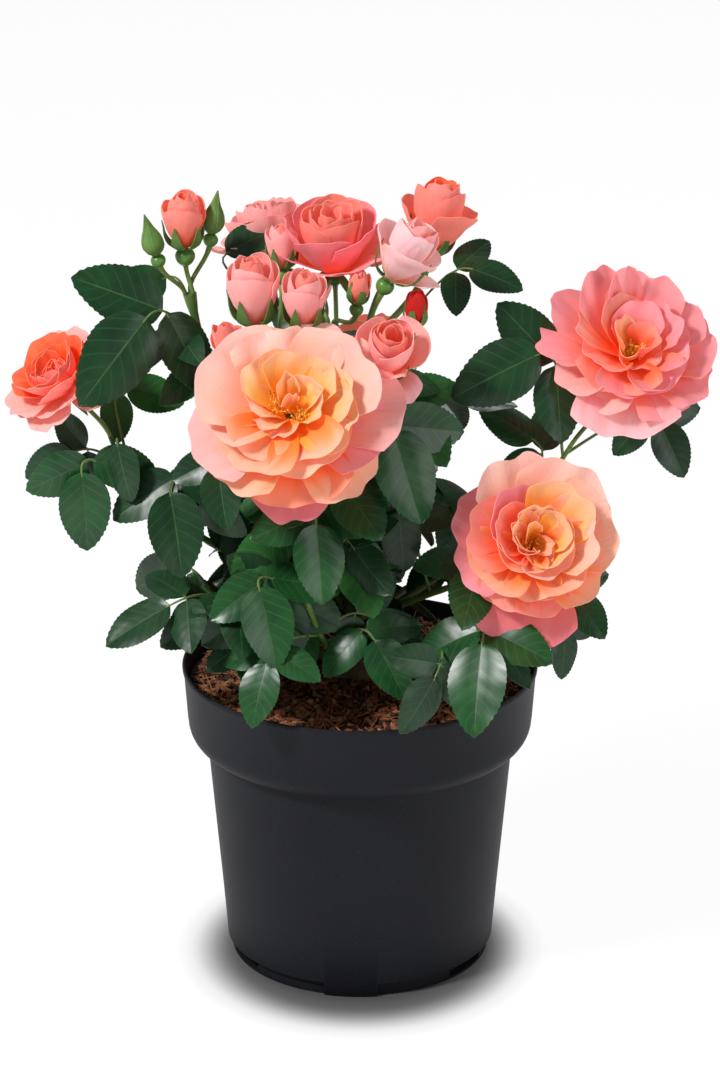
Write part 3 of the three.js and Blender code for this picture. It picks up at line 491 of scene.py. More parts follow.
class Heap:
    """Shapes gathered into one mesh: places in millimetres, faces, slots, and what each vertex carries."""

    def __init__(self):
        self.places = []
        self.quads = []
        self.tris = []
        self.quad_slots = []
        self.tri_slots = []
        self.tints = []
        self.spots = []
        self.count = 0

    def add(self, places, quads=None, tris=None, slots=0, tint=None, spot=None):
        n = len(places)
        self.places.append(np.asarray(places, float))
        if quads is not None:
            self.quads.append(np.asarray(quads, int) + self.count)
            self.quad_slots.append(np.broadcast_to(slots, len(quads)))
        if tris is not None:
            self.tris.append(np.asarray(tris, int) + self.count)
            self.tri_slots.append(np.full(len(tris), slots))
        self.tints.append(np.broadcast_to((1.0, 1.0, 1.0) if tint is None else tint, (n, 3)))
        self.spots.append(np.zeros((n, 2)) if spot is None else np.asarray(spot, float))
        self.count += n

    def piece(self, name, materials, smooth=True):
        places = np.vstack(self.places) * MM
        kinds = ((self.quads, self.quad_slots), (self.tris, self.tri_slots))
        groups = [(np.vstack(faces), np.concatenate(slots)) for faces, slots in kinds if faces]
        mesh = bpy.data.meshes.new(name)
        mesh.vertices.add(len(places))
        mesh.vertices.foreach_set("co", places.ravel())
        corners = np.concatenate([faces.ravel() for faces, _ in groups])
        sizes = np.concatenate([np.full(len(faces), faces.shape[1]) for faces, _ in groups])
        slots = np.concatenate([slots for _, slots in groups])
        mesh.loops.add(len(corners))
        mesh.loops.foreach_set("vertex_index", corners.astype(np.int32))
        mesh.polygons.add(len(sizes))
        mesh.polygons.foreach_set("loop_start", (np.cumsum(sizes) - sizes).astype(np.int32))
        mesh.polygons.foreach_set("material_index", slots.astype(np.int32))
        mesh.polygons.foreach_set("use_smooth", np.full(len(sizes), smooth))
        mesh.update(calc_edges=True)
        tint = mesh.attributes.new("tint", "FLOAT_COLOR", "POINT")
        opaque = np.ones((len(places), 1))
        tint.data.foreach_set("color", np.hstack([np.vstack(self.tints), opaque]).ravel())
        layer = mesh.uv_layers.new(name="spot")
        layer.data.foreach_set("uv", np.vstack(self.spots)[corners].ravel())
        mesh.set_sharp_from_angle(angle=SHARP_ANGLE)
        mesh.validate()
        for material in materials:
            mesh.materials.append(material)
        piece = bpy.data.objects.new(name, mesh)
        bpy.context.scene.collection.objects.link(piece)
        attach(piece, "root")
        return piece


def ring_faces(rows, sides):
    """Quads between rings of places, and triangles from both end rings to a middle place each."""
    i, j = np.meshgrid(np.arange(rows - 1) * sides, np.arange(sides), indexing="ij")
    k = (j + 1) % sides
    quads = np.stack([i + j, i + k, i + sides + k, i + sides + j], -1).reshape(-1, 4)
    first, last, end = rows * sides, rows * sides + 1, (rows - 1) * sides
    caps = [(first, (n + 1) % sides, n) for n in range(sides)]
    caps += [(last, end + n, end + (n + 1) % sides) for n in range(sides)]
    return quads, caps


def add_tube(heap, centres, radii, sides, slot=0, helper=None):
    """A round limb along a row of places, closed at both ends."""
    centres = np.asarray(centres, float)
    radii = np.broadcast_to(radii, len(centres))
    ways = unit(np.gradient(centres, axis=0))
    if helper is None:
        upright = abs(unit(centres[-1] - centres[0])[2]) > 0.7
        helper = np.array((0, 1.0, 0) if upright else (0, 0, 1.0))
    side = unit(np.cross(helper, ways))
    up = np.cross(ways, side)
    turns = np.arange(sides) * 2 * math.pi / sides
    ring = np.cos(turns)[None, :, None] * side[:, None] + np.sin(turns)[None, :, None] * up[:, None]
    places = (centres[:, None] + ring * radii[:, None, None]).reshape(-1, 3)
    heap.add(np.vstack([places, centres[[0, -1]]]), *ring_faces(len(centres), sides), slot)


def sheet_faces(rows, columns):
    """Faces of a closed thin sheet: its upper side, its lower side and its edge."""
    i, j = np.meshgrid(np.arange(rows - 1), np.arange(columns - 1), indexing="ij")
    a = i * columns + j
    upper = np.stack([a, a + columns, a + columns + 1, a + 1], -1).reshape(-1, 4)
    n = rows * columns
    lower = upper[:, ::-1] + n
    loop = [(0, c) for c in range(columns)] + [(r, columns - 1) for r in range(1, rows)]
    loop += [(rows - 1, c) for c in range(columns - 2, -1, -1)] + [(r, 0) for r in range(rows - 2, 0, -1)]
    ids = np.array([r * columns + c for r, c in loop])
    nxt = np.roll(ids, -1)
    edge = np.stack([ids, nxt, nxt + n, ids + n], -1)
    return upper, lower, edge


def sheet_places(grid, half_thickness):
    """Both sides of a thin sheet about a grid of places: all of its upper side, then the lower one."""
    ways = unit(np.cross(np.gradient(grid, axis=0), np.gradient(grid, axis=1)))
    upper, lower = grid + ways * half_thickness, grid - ways * half_thickness
    return np.vstack([upper.reshape(-1, 3), lower.reshape(-1, 3)])


# ---------------------------------------------------------------- materials

class Skin:
    """A node material in the making. Numbers that are the same all over sit on the shader itself."""

    def __init__(self, name, roughness, **shader):
        self.material = bpy.data.materials.new(name)
        self.material.use_nodes = True
        self.tree = self.material.node_tree
        self.surface = self.tree.nodes["Principled BSDF"]
        self.wear(Roughness=roughness, **shader)

    def wear(self, **shader):
        """Give the shader's sockets, named with _ for a space, a value or a node's output."""
        for key, value in shader.items():
            self.put(self.surface.inputs[key.replace("_", " ")], value)

    def put(self, socket, value):
        if isinstance(value, bpy.types.NodeSocket):
            self.tree.links.new(value, socket)
        else:
            socket.default_value = value

    def node(self, kind, sockets, **settings):
        """A new node: each socket, by name or number, gets a value or another node's output."""
        node = self.tree.nodes.new("ShaderNode" + kind)
        for key, value in settings.items():
            setattr(node, key, value)
        for key, value in sockets.items():
            self.put(node.inputs[key], value)
        return node

    def ramp(self, share, stops):
        """Colours, as drawn, along a share from 0 to 1."""
        node = self.node("ValToRGB", {"Fac": share})
        while len(node.color_ramp.elements) < len(stops):
            node.color_ramp.elements.new(0.5)
        for element, (at, colour) in zip(node.color_ramp.elements, stops):
            element.position = at
            element.color = opaque(colour)
        return node.outputs["Color"]

    def noise(self, scale, detail=4.0):
        where = self.node("TexCoord", {}).outputs["Object"]
        sockets = {"Vector": where, "Scale": scale, "Detail": detail, "Roughness": 0.6}
        return self.node("TexNoise", sockets).outputs["Fac"]

    def mix(self, share, under, over):
        sockets = {"Factor": share, "A": under, "B": opaque(over)}
        return self.node("Mix", sockets, data_type="RGBA").outputs["Result"]

    def spot(self):
        """Where a place lies on its own leaflet or petal: along it, and across it from -1 to 1."""
        return self.node("UVMap", {}, uv_map="spot").outputs["UV"]

    def bump(self, height, strength, distance):
        node = self.node("Bump", {"Height": height, "Strength": strength, "Distance": distance})
        self.wear(Normal=node.outputs["Normal"])


def moulded_plastic():
    """Dark grey plastic, a little uneven and speckled with dust, with a fine grain."""
    skin = Skin("pot_plastic", 0.55, Specular_IOR_Level=0.14)
    shade = skin.ramp(skin.noise(9.0, 5.0), [(0.3, (23, 24, 29)), (0.7, (29, 30, 36))])
    dust = skin.ramp(skin.noise(900.0, 1.0), [(0.70, BLACK), (0.78, WHITE)])
    skin.wear(Base_Color=skin.mix(dust, shade, (50, 51, 55)))
    skin.bump(skin.noise(1400.0, 2.0), 0.25, 0.0004)
    return skin.material


def tinted(name, roughness, scale, low, high, bump_strength=0.3, distance=0.0005, **shader):
    """A surface whose colour wanders a little between two shades."""
    skin = Skin(name, roughness, **shader)
    skin.wear(Base_Color=skin.ramp(skin.noise(scale), [(0.32, low), (0.68, high)]))
    skin.bump(skin.noise(scale * 3.1), bump_strength, distance)
    return skin.material


def leaf_skin(name, roughness, low, high, vein, shine):
    """A blade: a little wandering green with paler side veins laid by the blade's own spots."""
    skin = Skin(name, roughness, Specular_IOR_Level=shine)
    shade = skin.ramp(skin.noise(55.0, 3.0), [(0.3, low), (0.7, high)])
    parts = skin.node("SeparateXYZ", {"Vector": skin.spot()}).outputs
    across = skin.node("Math", {0: parts["Y"]}, operation="ABSOLUTE").outputs[0]
    sockets = {0: across, 1: -VEIN_SLANT, 2: parts["X"]}
    slant = skin.node("Math", sockets, operation="MULTIPLY_ADD").outputs[0]
    wave = skin.node("Math", {0: slant, 1: VEINS_DRAWN}, operation="MULTIPLY").outputs[0]
    saw = skin.node("Math", {0: wave, 1: 0.5}, operation="PINGPONG").outputs[0]
    line = skin.ramp(saw, [(0.0, WHITE), (0.10, BLACK)])
    skin.wear(Base_Color=skin.mix(line, shade, vein))
    skin.bump(saw, 0.12, 0.0004)
    return skin.material


def petal_skin():
    """Petals: each vertex carries its own tint, over fine lengthwise ribs, and the petals glow faintly in
    that tint, a painted glow standing in for light shining through them into their shade.
    """
    skin = Skin("petal", 0.6, Subsurface_Weight=0.3, Subsurface_Scale=0.004,
                Subsurface_Radius=(1.0, 0.45, 0.25), Sheen_Weight=0.05, Specular_IOR_Level=0.18,
                Emission_Strength=0.1)
    tint = skin.node("Attribute", {}, attribute_name="tint").outputs["Color"]
    # The tint also feeds a faint emission: a painted glow that warms and lifts the petals' shade.
    skin.wear(Base_Color=tint, Emission_Color=tint)
    stretch = skin.node("Mapping", {"Vector": skin.spot(), "Scale": (1.6, 26.0, 1.0)})
    sockets = {"Vector": stretch.outputs["Vector"], "Scale": 1.0, "Detail": 2.0}
    skin.bump(skin.node("TexNoise", sockets).outputs["Fac"], 0.3, 0.0008)
    return skin.material


# ---------------------------------------------------------------- pot, soil and stub

def only(piece):
    bpy.ops.object.select_all(action="DESELECT")
    piece.select_set(True)
    bpy.context.view_layer.objects.active = piece


def turned(name, outline, sides):
    """A round piece drawn up from a disc: each ring is an extrusion, moved and widened to its place."""
    bpy.ops.object.select_all(action="DESELECT")
    radius, height = outline[0]
    bpy.ops.mesh.primitive_circle_add(
        vertices=sides, radius=radius * MM, fill_type="NGON", location=(0, 0, height * MM))
    piece = bpy.context.object
    piece.name = name
    piece.data.name = name
    bpy.ops.object.transform_apply(location=True, rotation=False, scale=False)
    bpy.ops.object.mode_set(mode="EDIT")
    bpy.ops.mesh.select_all(action="SELECT")
    for to_radius, to_height in outline[1:]:
        rise = (0, 0, (to_height - height) * MM)
        bpy.ops.mesh.extrude_region_move(TRANSFORM_OT_translate={"value": rise})
        wider = to_radius / radius
        bpy.ops.transform.resize(value=(wider, wider, 1), center_override=(0, 0, to_height * MM))
        radius, height = to_radius, to_height
    bpy.ops.mesh.select_all(action="SELECT")
    bpy.ops.mesh.normals_make_consistent(inside=False)
    bpy.ops.object.mode_set(mode="OBJECT")
    return piece


def ring_block(inner, outer, low, high, middle, half):
    """A curved block between two radii, heights and turns, to cut with."""
    steps = max(4, round(half / 2))
    turns = np.radians(np.linspace(middle - half, middle + half, steps + 1))
    section = ((inner, low), (outer, low), (outer, high), (inner, high))
    rows = [[(r * math.cos(t), r * math.sin(t), z) for r, z in section] for t in turns]
    quads = [[i * 4 + a, i * 4 + (a + 1) % 4, i * 4 + 4 + (a + 1) % 4, i * 4 + 4 + a]
             for i in range(steps) for a in range(4)]
    last = steps * 4
    heap = Heap()
    heap.add(np.array(rows).reshape(-1, 3), quads + [[3, 2, 1, 0], [last, last + 1, last + 2, last + 3]])
    block = heap.piece("cutter", [])
    only(block)
    bpy.ops.object.mode_set(mode="EDIT")
    bpy.ops.mesh.select_all(action="SELECT")
    bpy.ops.mesh.normals_make_consistent(inside=False)
    bpy.ops.object.mode_set(mode="OBJECT")
    return block


def cut(piece, block):
    cutting = piece.modifiers.new("cut", "BOOLEAN")
    cutting.operation = "DIFFERENCE"
    cutting.solver = "EXACT"
    cutting.object = block
    only(piece)
    bpy.ops.object.modifier_apply(modifier=cutting.name)
    bpy.data.objects.remove(block)


def pot_outline():
    """The pot's section: up the outside, over the lip, and down the inside to the floor."""
    outline = [(BASE_RADIUS, 0), (BASE_RADIUS + BASE_BEVEL, BASE_BEVEL * 1.5)]
    for share in (0.3, 0.6, 0.9):
        outline.append((BASE_RADIUS + (STEP_RADIUS - BASE_RADIUS) * share, STEP_HEIGHT * share))
    outline.append((STEP_RADIUS, STEP_HEIGHT))
    for step in range(1, SHOULDER_STEPS + 1):
        turn = step / SHOULDER_STEPS * math.pi / 2
        outline.append((
            STEP_RADIUS + (COLLAR_FOOT_RADIUS - STEP_RADIUS) * math.sin(turn),
            COLLAR_FOOT_HEIGHT - (COLLAR_FOOT_HEIGHT - STEP_HEIGHT) * math.cos(turn) + SHOULDER_LIFT,
        ))
    outline.append((COLLAR_FOOT_RADIUS + 0.4, COLLAR_FOOT_HEIGHT + 3.5))
    outline += [(RIM_RADIUS - inwards, POT_HEIGHT - down) for inwards, down in LIP]
    outline.append((COLLAR_FOOT_RADIUS - WALL, COLLAR_FOOT_HEIGHT))
    outline.append((STEP_RADIUS - WALL, STEP_HEIGHT))
    outline.append((BASE_RADIUS - WALL + 1.1, FLOOR))
    return outline


def make_pot(plastic):
    """The pot, turned, with its inset foot cut back between three pads and a drain notch in each gap."""
    pot = turned("pot_shell", pot_outline(), POT_SIDES)
    outer = BASE_RADIUS + 4
    for third in range(3):
        middle = 270 + FOOT_TURN + 120 * third + 60
        gap = ring_block(BASE_RADIUS - FOOT_INSET, outer, -1, FOOT_HEIGHT, middle, 60 - PAD_HALF_ANGLE)
        cut(pot, gap)
        notch = (BASE_RADIUS - NOTCH_DEPTH, outer, NOTCH_LOW, FOOT_HEIGHT - 1)
        cut(pot, ring_block(*notch, middle, NOTCH_HALF_ANGLE))
    pot.data.materials.clear()
    pot.data.materials.append(plastic)
    only(pot)
    bpy.ops.object.shade_smooth_by_angle(angle=math.radians(32))
    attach(pot, "root")
    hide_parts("pot")


def soil_height(radius):
    share = np.clip(radius / SOIL_ROUND, 0, 1)
    return SOIL_TOP_HEIGHT - (SOIL_TOP_HEIGHT - SOIL_EDGE_HEIGHT) * share ** 1.4


def make_soil(dark):
    """The soil: a bed turned to the pot's inside, its top roughened by crumbs."""
    edge = SOIL_EDGE_RADIUS
    outline = [(BASE_RADIUS - WALL, FLOOR + 0.5), (STEP_RADIUS - WALL - 0.5, STEP_HEIGHT)]
    outline += [(edge - 2.6, COLLAR_FOOT_HEIGHT), (edge, SOIL_EDGE_HEIGHT - 1)]
    outline += [(radius, float(soil_height(radius))) for radius in np.linspace(edge - 2, 1.5, SOIL_RINGS)]
    soil = turned("soil_bed", outline, SOIL_SIDES)
    crumbs = bpy.data.textures.new("crumbs", "CLOUDS")
    crumbs.noise_scale = 0.007
    crumbs.noise_depth = 3
    rough = soil.modifiers.new("crumbs", "DISPLACE")
    rough.texture = crumbs
    rough.texture_coords = "LOCAL"
    rough.direction = "Z"
    rough.mid_level = 0.62
    rough.strength = 0.006
    top = soil.vertex_groups.new(name="top")
    low, wide = (SOIL_EDGE_HEIGHT - 2) * MM, 104 * MM
    within = [v.index for v in soil.data.vertices if v.co.z > low and math.hypot(v.co.x, v.co.y) < wide]
    top.add(within, 1.0, "REPLACE")
    rough.vertex_group = "top"
    only(soil)
    bpy.ops.object.modifier_apply(modifier=rough.name)
    soil.data.materials.append(dark)
    bpy.ops.object.shade_smooth()
    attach(soil, "root")
    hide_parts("soil")


def make_litter(chips):
    """Bark chips and fibres on the soil, every one a tapered sliver of its own turn and size."""
    rng = np.random.default_rng(5)
    sliver = np.array([(x, y, z) for x in (-1, 1) for y in (-1, 1) for z in (-1, 1)], float)
    sliver[:4] *= (1, 0.55, 0.6)
    faces = [(0, 1, 3, 2), (4, 6, 7, 5), (0, 4, 5, 1), (2, 3, 7, 6), (0, 2, 6, 4), (1, 5, 7, 3)]
    fibre_slot = len(chips) - 1
    heap = Heap()
    for _ in range(CHIP_COUNT):
        radius = LITTER_RADIUS * math.sqrt(rng.random())
        turn = rng.random() * 2 * math.pi
        if radius < STUB_FLARE_RADIUS - 2:
            continue
        fibre = rng.random() < FIBRE_SHARE
        if fibre:
            size = (rng.uniform(5, 12), 0.35, 0.3)
        else:
            size = (rng.uniform(1.6, 4.6), rng.uniform(0.8, 2.2), rng.uniform(0.4, 1.1))
        spin = Matrix.Rotation(rng.random() * 2 * math.pi, 3, "Z")
        spin = spin @ Matrix.Rotation(rng.normal(0, 0.35), 3, "Y")
        spin = spin @ Matrix.Rotation(rng.normal(0, 0.5), 3, "X")
        own = sliver * np.array(size) * rng.uniform(0.75, 1.2, (8, 3))
        height = float(soil_height(radius)) + rng.uniform(0.2, 1.9)
        middle = np.array((radius * math.cos(turn), radius * math.sin(turn), height))
        past = max(0.0, radius + size[0] - LITTER_RADIUS - 1)
        middle[:2] *= (radius - past) / radius
        slot = fibre_slot if fibre else int(rng.choice(fibre_slot, p=CHIP_SHARES))
        heap.add(own @ np.array(spin).T + middle, faces, slots=slot)
    heap.piece("bark_chips", chips, smooth=False)


def make_stub(bark):
    """The woody stub: flared at the soil, necked, swollen at its top, and ridged all over."""
    foot = SOIL_TOP_HEIGHT + SEAT_GAP
    rows, sides = 40, 48
    knee = SIDE_EXIT_HEIGHT + 5
    heights = (foot, foot + 5, foot + 13, knee, STUB_TOP - 4, STUB_TOP - 1, STUB_TOP)
    radii = (STUB_FLARE_RADIUS, STUB_NECK_RADIUS + 1.5, STUB_NECK_RADIUS, STUB_NECK_RADIUS + 0.6,
             STUB_KNUCKLE_RADIUS, STUB_KNUCKLE_RADIUS - 1.0, STUB_KNUCKLE_RADIUS - 3.0)
    z = np.linspace(foot, STUB_TOP, rows)
    zz, tt = np.meshgrid(z, np.arange(sides) * 2 * math.pi / sides, indexing="ij")
    ridges = 0.45 * np.sin(7 * tt + 0.6 * np.sin(zz * 0.4)) + 0.35 * np.sin(13 * tt + zz * 0.9)
    ridges += 0.3 * np.sin(zz * 1.7 + 3 * tt)
    flare = 1 + 0.12 * np.cos(5 * tt) * np.clip((foot + 6 - zz) / 6, 0, 1)
    rr = (np.interp(z, heights, radii)[:, None] + ridges * 0.8) * flare
    lean = STUB_LEAN * np.clip((zz - knee) / (STUB_TOP - knee), 0, 1)
    places = np.stack([rr * np.cos(tt) + lean, rr * np.sin(tt), zz], -1).reshape(-1, 3)
    heap = Heap()
    ends = [(0, 0, foot), (STUB_LEAN, 0, STUB_TOP)]
    heap.add(np.vstack([places, ends]), *ring_faces(rows, sides))
    stub = heap.piece("woody_stub", [bark])
    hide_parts("stub")


# ---------------------------------------------------------------- shoots

def shoot_curve(name):
    """The four control places of a shoot, from the stub to its tip, as in the source."""
    slot, bend, tip = SHOOTS[name][:3]
    turn = math.radians(slot)
    out = np.array((math.cos(turn), math.sin(turn), 0))
    if name.startswith("low_"):
        foot = out * (STUB_NECK_RADIUS + JOINT_GAP + 0.6)
        foot[2] = SIDE_EXIT_HEIGHT
        return foot, foot + out * 16, np.array(bend, float), np.array(tip, float)
    if slot < 0:
        out = np.array((-0.5, 0.85, 0)) if slot == -1 else np.array((0.5, -0.85, 0))
    foot = out * (INNER_RING if slot < 0 else CANE_RING)
    foot[2] = STUB_TOP + JOINT_GAP
    foot[0] += STUB_LEAN
    return foot, foot + np.array((0, 0, 26.0)), np.array(bend, float), np.array(tip, float)


def stalk_feet(name):
    """Where each flower's stalk starts on the tip of its shoot, in the order they leave it."""
    curve = shoot_curve(name)
    tip, forward = bezier(*curve, 1.0), bezier_way(*curve, 1.0)
    side = unit(np.cross((0, 1, 0), forward))
    up = np.cross(forward, side)
    own = [key for key, flower in FLOWERS.items() if flower[0] == name]
    placed = []
    for key in own:
        way = np.array(FLOWERS[key][2]) - tip
        placed.append((math.atan2(way @ up, way @ side), key))
    placed.sort(key=lambda item: item[0])
    ring = 1.2 + 0.55 * len(own) if len(own) > 1 else 0
    share = 2 * math.pi / max(1, len(placed))
    lag = [turn - index * share for index, (turn, _) in enumerate(placed)]
    start = math.atan2(sum(math.sin(v) for v in lag), sum(math.cos(v) for v in lag))
    feet = {}
    for index, (_, key) in enumerate(placed):
        turn = start + index * share
        feet[key] = tip + forward * JOINT_GAP + side * ring * math.cos(turn) + up * ring * math.sin(turn)
    return feet, ring


def add_prickle(heap, foot, out, down, length, slot):
    """A small hooked thorn."""
    side = np.cross(out, down)
    base = [foot + down * 1.3, foot + side * 0.55, foot - down * 1.5, foot - side * 0.55]
    mid = foot + out * length * 0.55 + down * 0.2
    mids = [mid + v * 0.4 for v in (down, side, -down, -side)]
    tip = foot + out * length + down * length * 0.45
    quads = [(0, 1, 5, 4), (1, 2, 6, 5), (2, 3, 7, 6), (3, 0, 4, 7)]
    tris = [(4, 5, 8), (5, 6, 8), (6, 7, 8), (7, 4, 8)]
    heap.add(np.array(base + mids + [tip]), quads, tris, slot)


def make_limbs(cane_skin, stem_skin, thorn_skin):
    """Canes and green stems, with short swellings along them, widened tips and prickles."""
    rng = np.random.default_rng(11)
    canes, stems = Heap(), Heap()
    for name in SHOOTS:
        bare = SHOOTS[name][3]
        curve = shoot_curve(name)
        t = np.linspace(0, bare, LIMB_RINGS)
        radii = np.linspace(CANE_FOOT_RADIUS, CANE_END_RADIUS, LIMB_RINGS)
        add_tube(canes, bezier(*curve, t), radii + 0.16 * knots(t), LIMB_SIDES)
        _, ring = stalk_feet(name)
        t = np.linspace(bare + 0.004, 1, LIMB_RINGS)
        radii = np.linspace(CANE_END_RADIUS, STEM_TIP_RADIUS + ring * 0.25, LIMB_RINGS)
        tip_swell = ring * 0.75 * np.clip((t - 0.955) / 0.04, 0, 1)
        add_tube(stems, bezier(*curve, t), radii + 0.2 * knots(t) + tip_swell, LIMB_SIDES)
        for _ in range(PRICKLES):
            at = rng.uniform(0.12, 0.9)
            turn = rng.uniform(0, 2 * math.pi)
            way = bezier_way(*curve, at)
            out = turned_about(unit(np.cross((0, 1, 0.1), way)), way, turn)
            heap = canes if at < bare else stems
            radius = CANE_FOOT_RADIUS - 0.5 * at / bare if at < bare else 2.0
            foot = bezier(*curve, at) + out * (radius - 0.5)
            add_prickle(heap, foot, out, -way, rng.uniform(2.2, 3.4), 1)
    cane_piece = canes.piece("canes", [cane_skin, thorn_skin])
    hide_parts(*["cane_" + name for name in SHOOTS])
    stems.piece("green_stems", [stem_skin, thorn_skin])


def knots(t):
    """A row of nine short swellings along a shoot."""
    return np.exp(-((np.mod(t * 9, 1) - 0.5) / 0.09) ** 2)


# ---------------------------------------------------------------- leaves

LEAF_UPPER, LEAF_LOWER, LEAF_EDGE = sheet_faces(LEAF_ROWS, len(LEAF_COLUMNS))
LEAF_FACES = np.vstack([LEAF_UPPER, LEAF_LOWER, LEAF_EDGE])


def blade_breadth(u):
    """Half breadth of a leaflet as a part of its length: broad below the middle, drawn to a short point."""
    return 0.76 * np.power(u, 0.52) * np.power(1 - u, 0.76)


def add_leaflet(heap, anchor, along, across, face, length, rng, slot):
    """One serrated leaflet: folded along its midrib, quilted between its veins, its tip turned down."""
    uu, vv = np.meshgrid(np.linspace(0, 1, LEAF_ROWS), LEAF_COLUMNS, indexing="ij")
    tooth = (np.arange(LEAF_ROWS) % 2)[:, None] * (np.abs(vv) > 0.9)
    lateral = vv * (blade_breadth(uu) + TOOTH_OUT * tooth)
    forward = uu + TOOTH_FORWARD * tooth * (uu < 0.97)
    fold = LEAF_FOLD * rng.uniform(0.7, 1.6)
    bow = rng.uniform(0.2, 1.0)
    droop = rng.uniform(0.04, 0.26)
    wave = rng.uniform(0.006, 0.018)
    phase = rng.uniform(0, 6.28)
    cells = np.cos((uu - VEIN_SLANT * np.abs(vv)) * VEINS_RAISED * 2 * math.pi)
    quilt = QUILT * cells * np.abs(np.sin(math.pi * vv))
    lift = np.abs(lateral) * fold - bow * lateral ** 2 - droop * uu * uu - quilt
    lift = lift + wave * np.sin(uu * 9 + phase + 2 * np.sign(vv)) * vv * vv
    lateral = lateral + rng.uniform(-0.05, 0.05) * uu * uu
    sheet = forward[..., None] * along + lateral[..., None] * across + lift[..., None] * face
    places = sheet_places(anchor + sheet * length, BLADE_THICKNESS / 2)
    rib = np.tile([False, False, False, True, False, False, False], LEAF_ROWS - 1)
    under, over = np.where(rib, UNDER_RIB_SLOT, UNDER_SLOT), np.where(rib, RIB_SLOT, slot)
    slots = np.concatenate([under, over, np.full(len(LEAF_EDGE), RIB_SLOT)])
    spot = np.stack([uu, vv], -1).reshape(-1, 2)
    heap.add(places, LEAF_FACES, slots=slots, spot=np.vstack([spot, spot]))


def leaf_face(foot):
    """The way a leaf's blades face: up and outwards, and those of the front turned to the front."""
    outward = unit(np.array((foot[0], foot[1], 0)))
    if foot[1] < FRONT_LEAVES:
        return unit(np.array((outward[0] * 0.25, -0.72, 0.65)))
    return unit(outward * 0.55 + np.array((0, 0, 0.85)))


def add_leaf(blades, stalks, root, foot, tip, pairs, rng, slot):
    """A compound leaf: a curved stalk that ends in a leaflet, with side leaflets in pairs."""
    blade = np.linalg.norm(tip - foot)
    forward = (tip - foot) / blade
    span = np.linalg.norm(foot - root)
    first = root + (foot - root) * 0.3 + np.array((0, 0, span * 0.1))
    second = foot - forward * min(span * 0.45, 18)
    centres = bezier(root, first, second, foot, np.linspace(0, 1, STALK_RINGS))
    steps = np.concatenate([[0], np.cumsum(np.linalg.norm(np.diff(centres, axis=0), axis=1))])
    length = steps[-1]
    side = turned_about(unit(np.cross(forward, leaf_face(foot))), forward, rng.normal(0, 0.38))
    face = np.cross(side, forward)
    line = np.vstack([centres, foot + forward * blade * 0.06])
    add_tube(stalks, line, np.linspace(1.05, 0.6, STALK_RINGS + 1), 6, helper=face)
    add_leaflet(blades, foot, forward, side, face, blade, rng, slot)
    for pair in range(pairs):
        at = length - blade * (PAIR_SETBACK + PAIR_SPACING * pair)
        if at < length * 0.25 + BARE_STALK:
            break
        place = np.array([np.interp(at, steps, centres[:, axis]) for axis in range(3)])
        for hand in (-1, 1):
            turn = -math.radians(PAIR_SPREAD + 8 * pair) * hand
            along = turned_about(forward, face, turn)
            across = turned_about(side, face, turn)
            size = blade * (0.86 - 0.2 * pair) * rng.uniform(0.94, 1.04)
            tilt = rng.uniform(-0.2, 0.34) * hand
            own_face, own_across = [turned_about(way, along, tilt) for way in (face, across)]
            add_leaflet(blades, place + along * 1.5, along, own_across, own_face, size, rng, slot)
            line = [place, place + along * 1.2, place + along * size * 0.08]
            add_tube(stalks, line, 0.55, 5, helper=face)


def ruled_leaves(name, number, share):
    """Leaves set by the shoot's own rule; the finer ones carry the same rule on, between the first."""
    bare, leaves, first_turn = SHOOTS[name][3:6]
    count = leaves * share
    following = seeded(101 + number * 37 + (share - 1) * 977)
    curve = shoot_curve(name)
    rows = []
    for i in range(count):
        at = bare + 0.06 + (0.9 - bare) * ((i + 0.6) / count)
        turn = math.radians(first_turn + LEAF_TURN * i + (following() - 0.5) * 40)
        rise = math.radians(28 + (following() - 0.5) * 24)
        stalk = 26 + following() * 14
        blade = 36 + following() * 14
        out = np.array((math.cos(turn), math.sin(turn), 0))
        foot = bezier(*curve, at) + out * stalk * math.cos(rise)
        foot[2] += stalk * math.sin(rise)
        end = foot + out * blade * 0.86
        end[2] -= blade * 0.5
        rows.append((at, foot, end))
    return rows


def clear_of_blooms(points):
    """False where a place of a leaf would stand in a flower."""
    for _, kind, at, faces, width, _ in FLOWERS.values():
        axis = unit(faces)
        away = points - np.array(at, float)
        height = away @ axis
        radius = np.linalg.norm(away - height[:, None] * axis, axis=1)
        deep = BLOOM_DEPTH[kind] * width
        if np.any((radius < width * 0.5) & (height > -deep) & (height < max(deep, width * 0.35))):
            return False
    return True


def clear_of_sky(points):
    """False where a place of a leaf would fill a gap that shows through the crown from the front."""
    rise = points[:, 2] - VIEW_HEIGHT
    up = points[:, 1] * math.sin(VIEW_PITCH) + rise * math.cos(VIEW_PITCH)
    depth = VIEW_DISTANCE + points[:, 1] * math.cos(VIEW_PITCH) - rise * math.sin(VIEW_PITCH)
    seen = np.stack([points[:, 0], up], -1) * VIEW_DISTANCE / depth[:, None]
    for x, y, half_width, half_height in SKY:
        away = (seen - np.array((x, y))) / np.array((half_width, half_height))
        if np.any((away ** 2).sum(1) < 1):
            return False
    return True


def in_box(points):
    """True where all places stand over the pot and in the solids' box, with a little to spare."""
    low, high = [np.array(corner) / MM for corner in solids_box]
    in_sides = np.all(points > low - 4) and np.all(points < high + 4)
    return bool(in_sides and np.all(points[:, 2] > POT_HEIGHT - 6))


def has_room(foot, tip):
    """True where a leaf's middle line is clear of flowers, and its leaflets' tips of the gaps as well."""
    line = foot + (tip - foot) * np.linspace(0, 1, 6)[:, None]
    wing = np.cross(tip - foot, leaf_face(foot)) * 0.8
    wings = [foot * 1.25 - tip * 0.25 + wing * reach for reach in (-1, -0.5, 0.5, 1)]
    return clear_of_blooms(line) and in_box(line) and clear_of_sky(np.vstack([line, wings]))


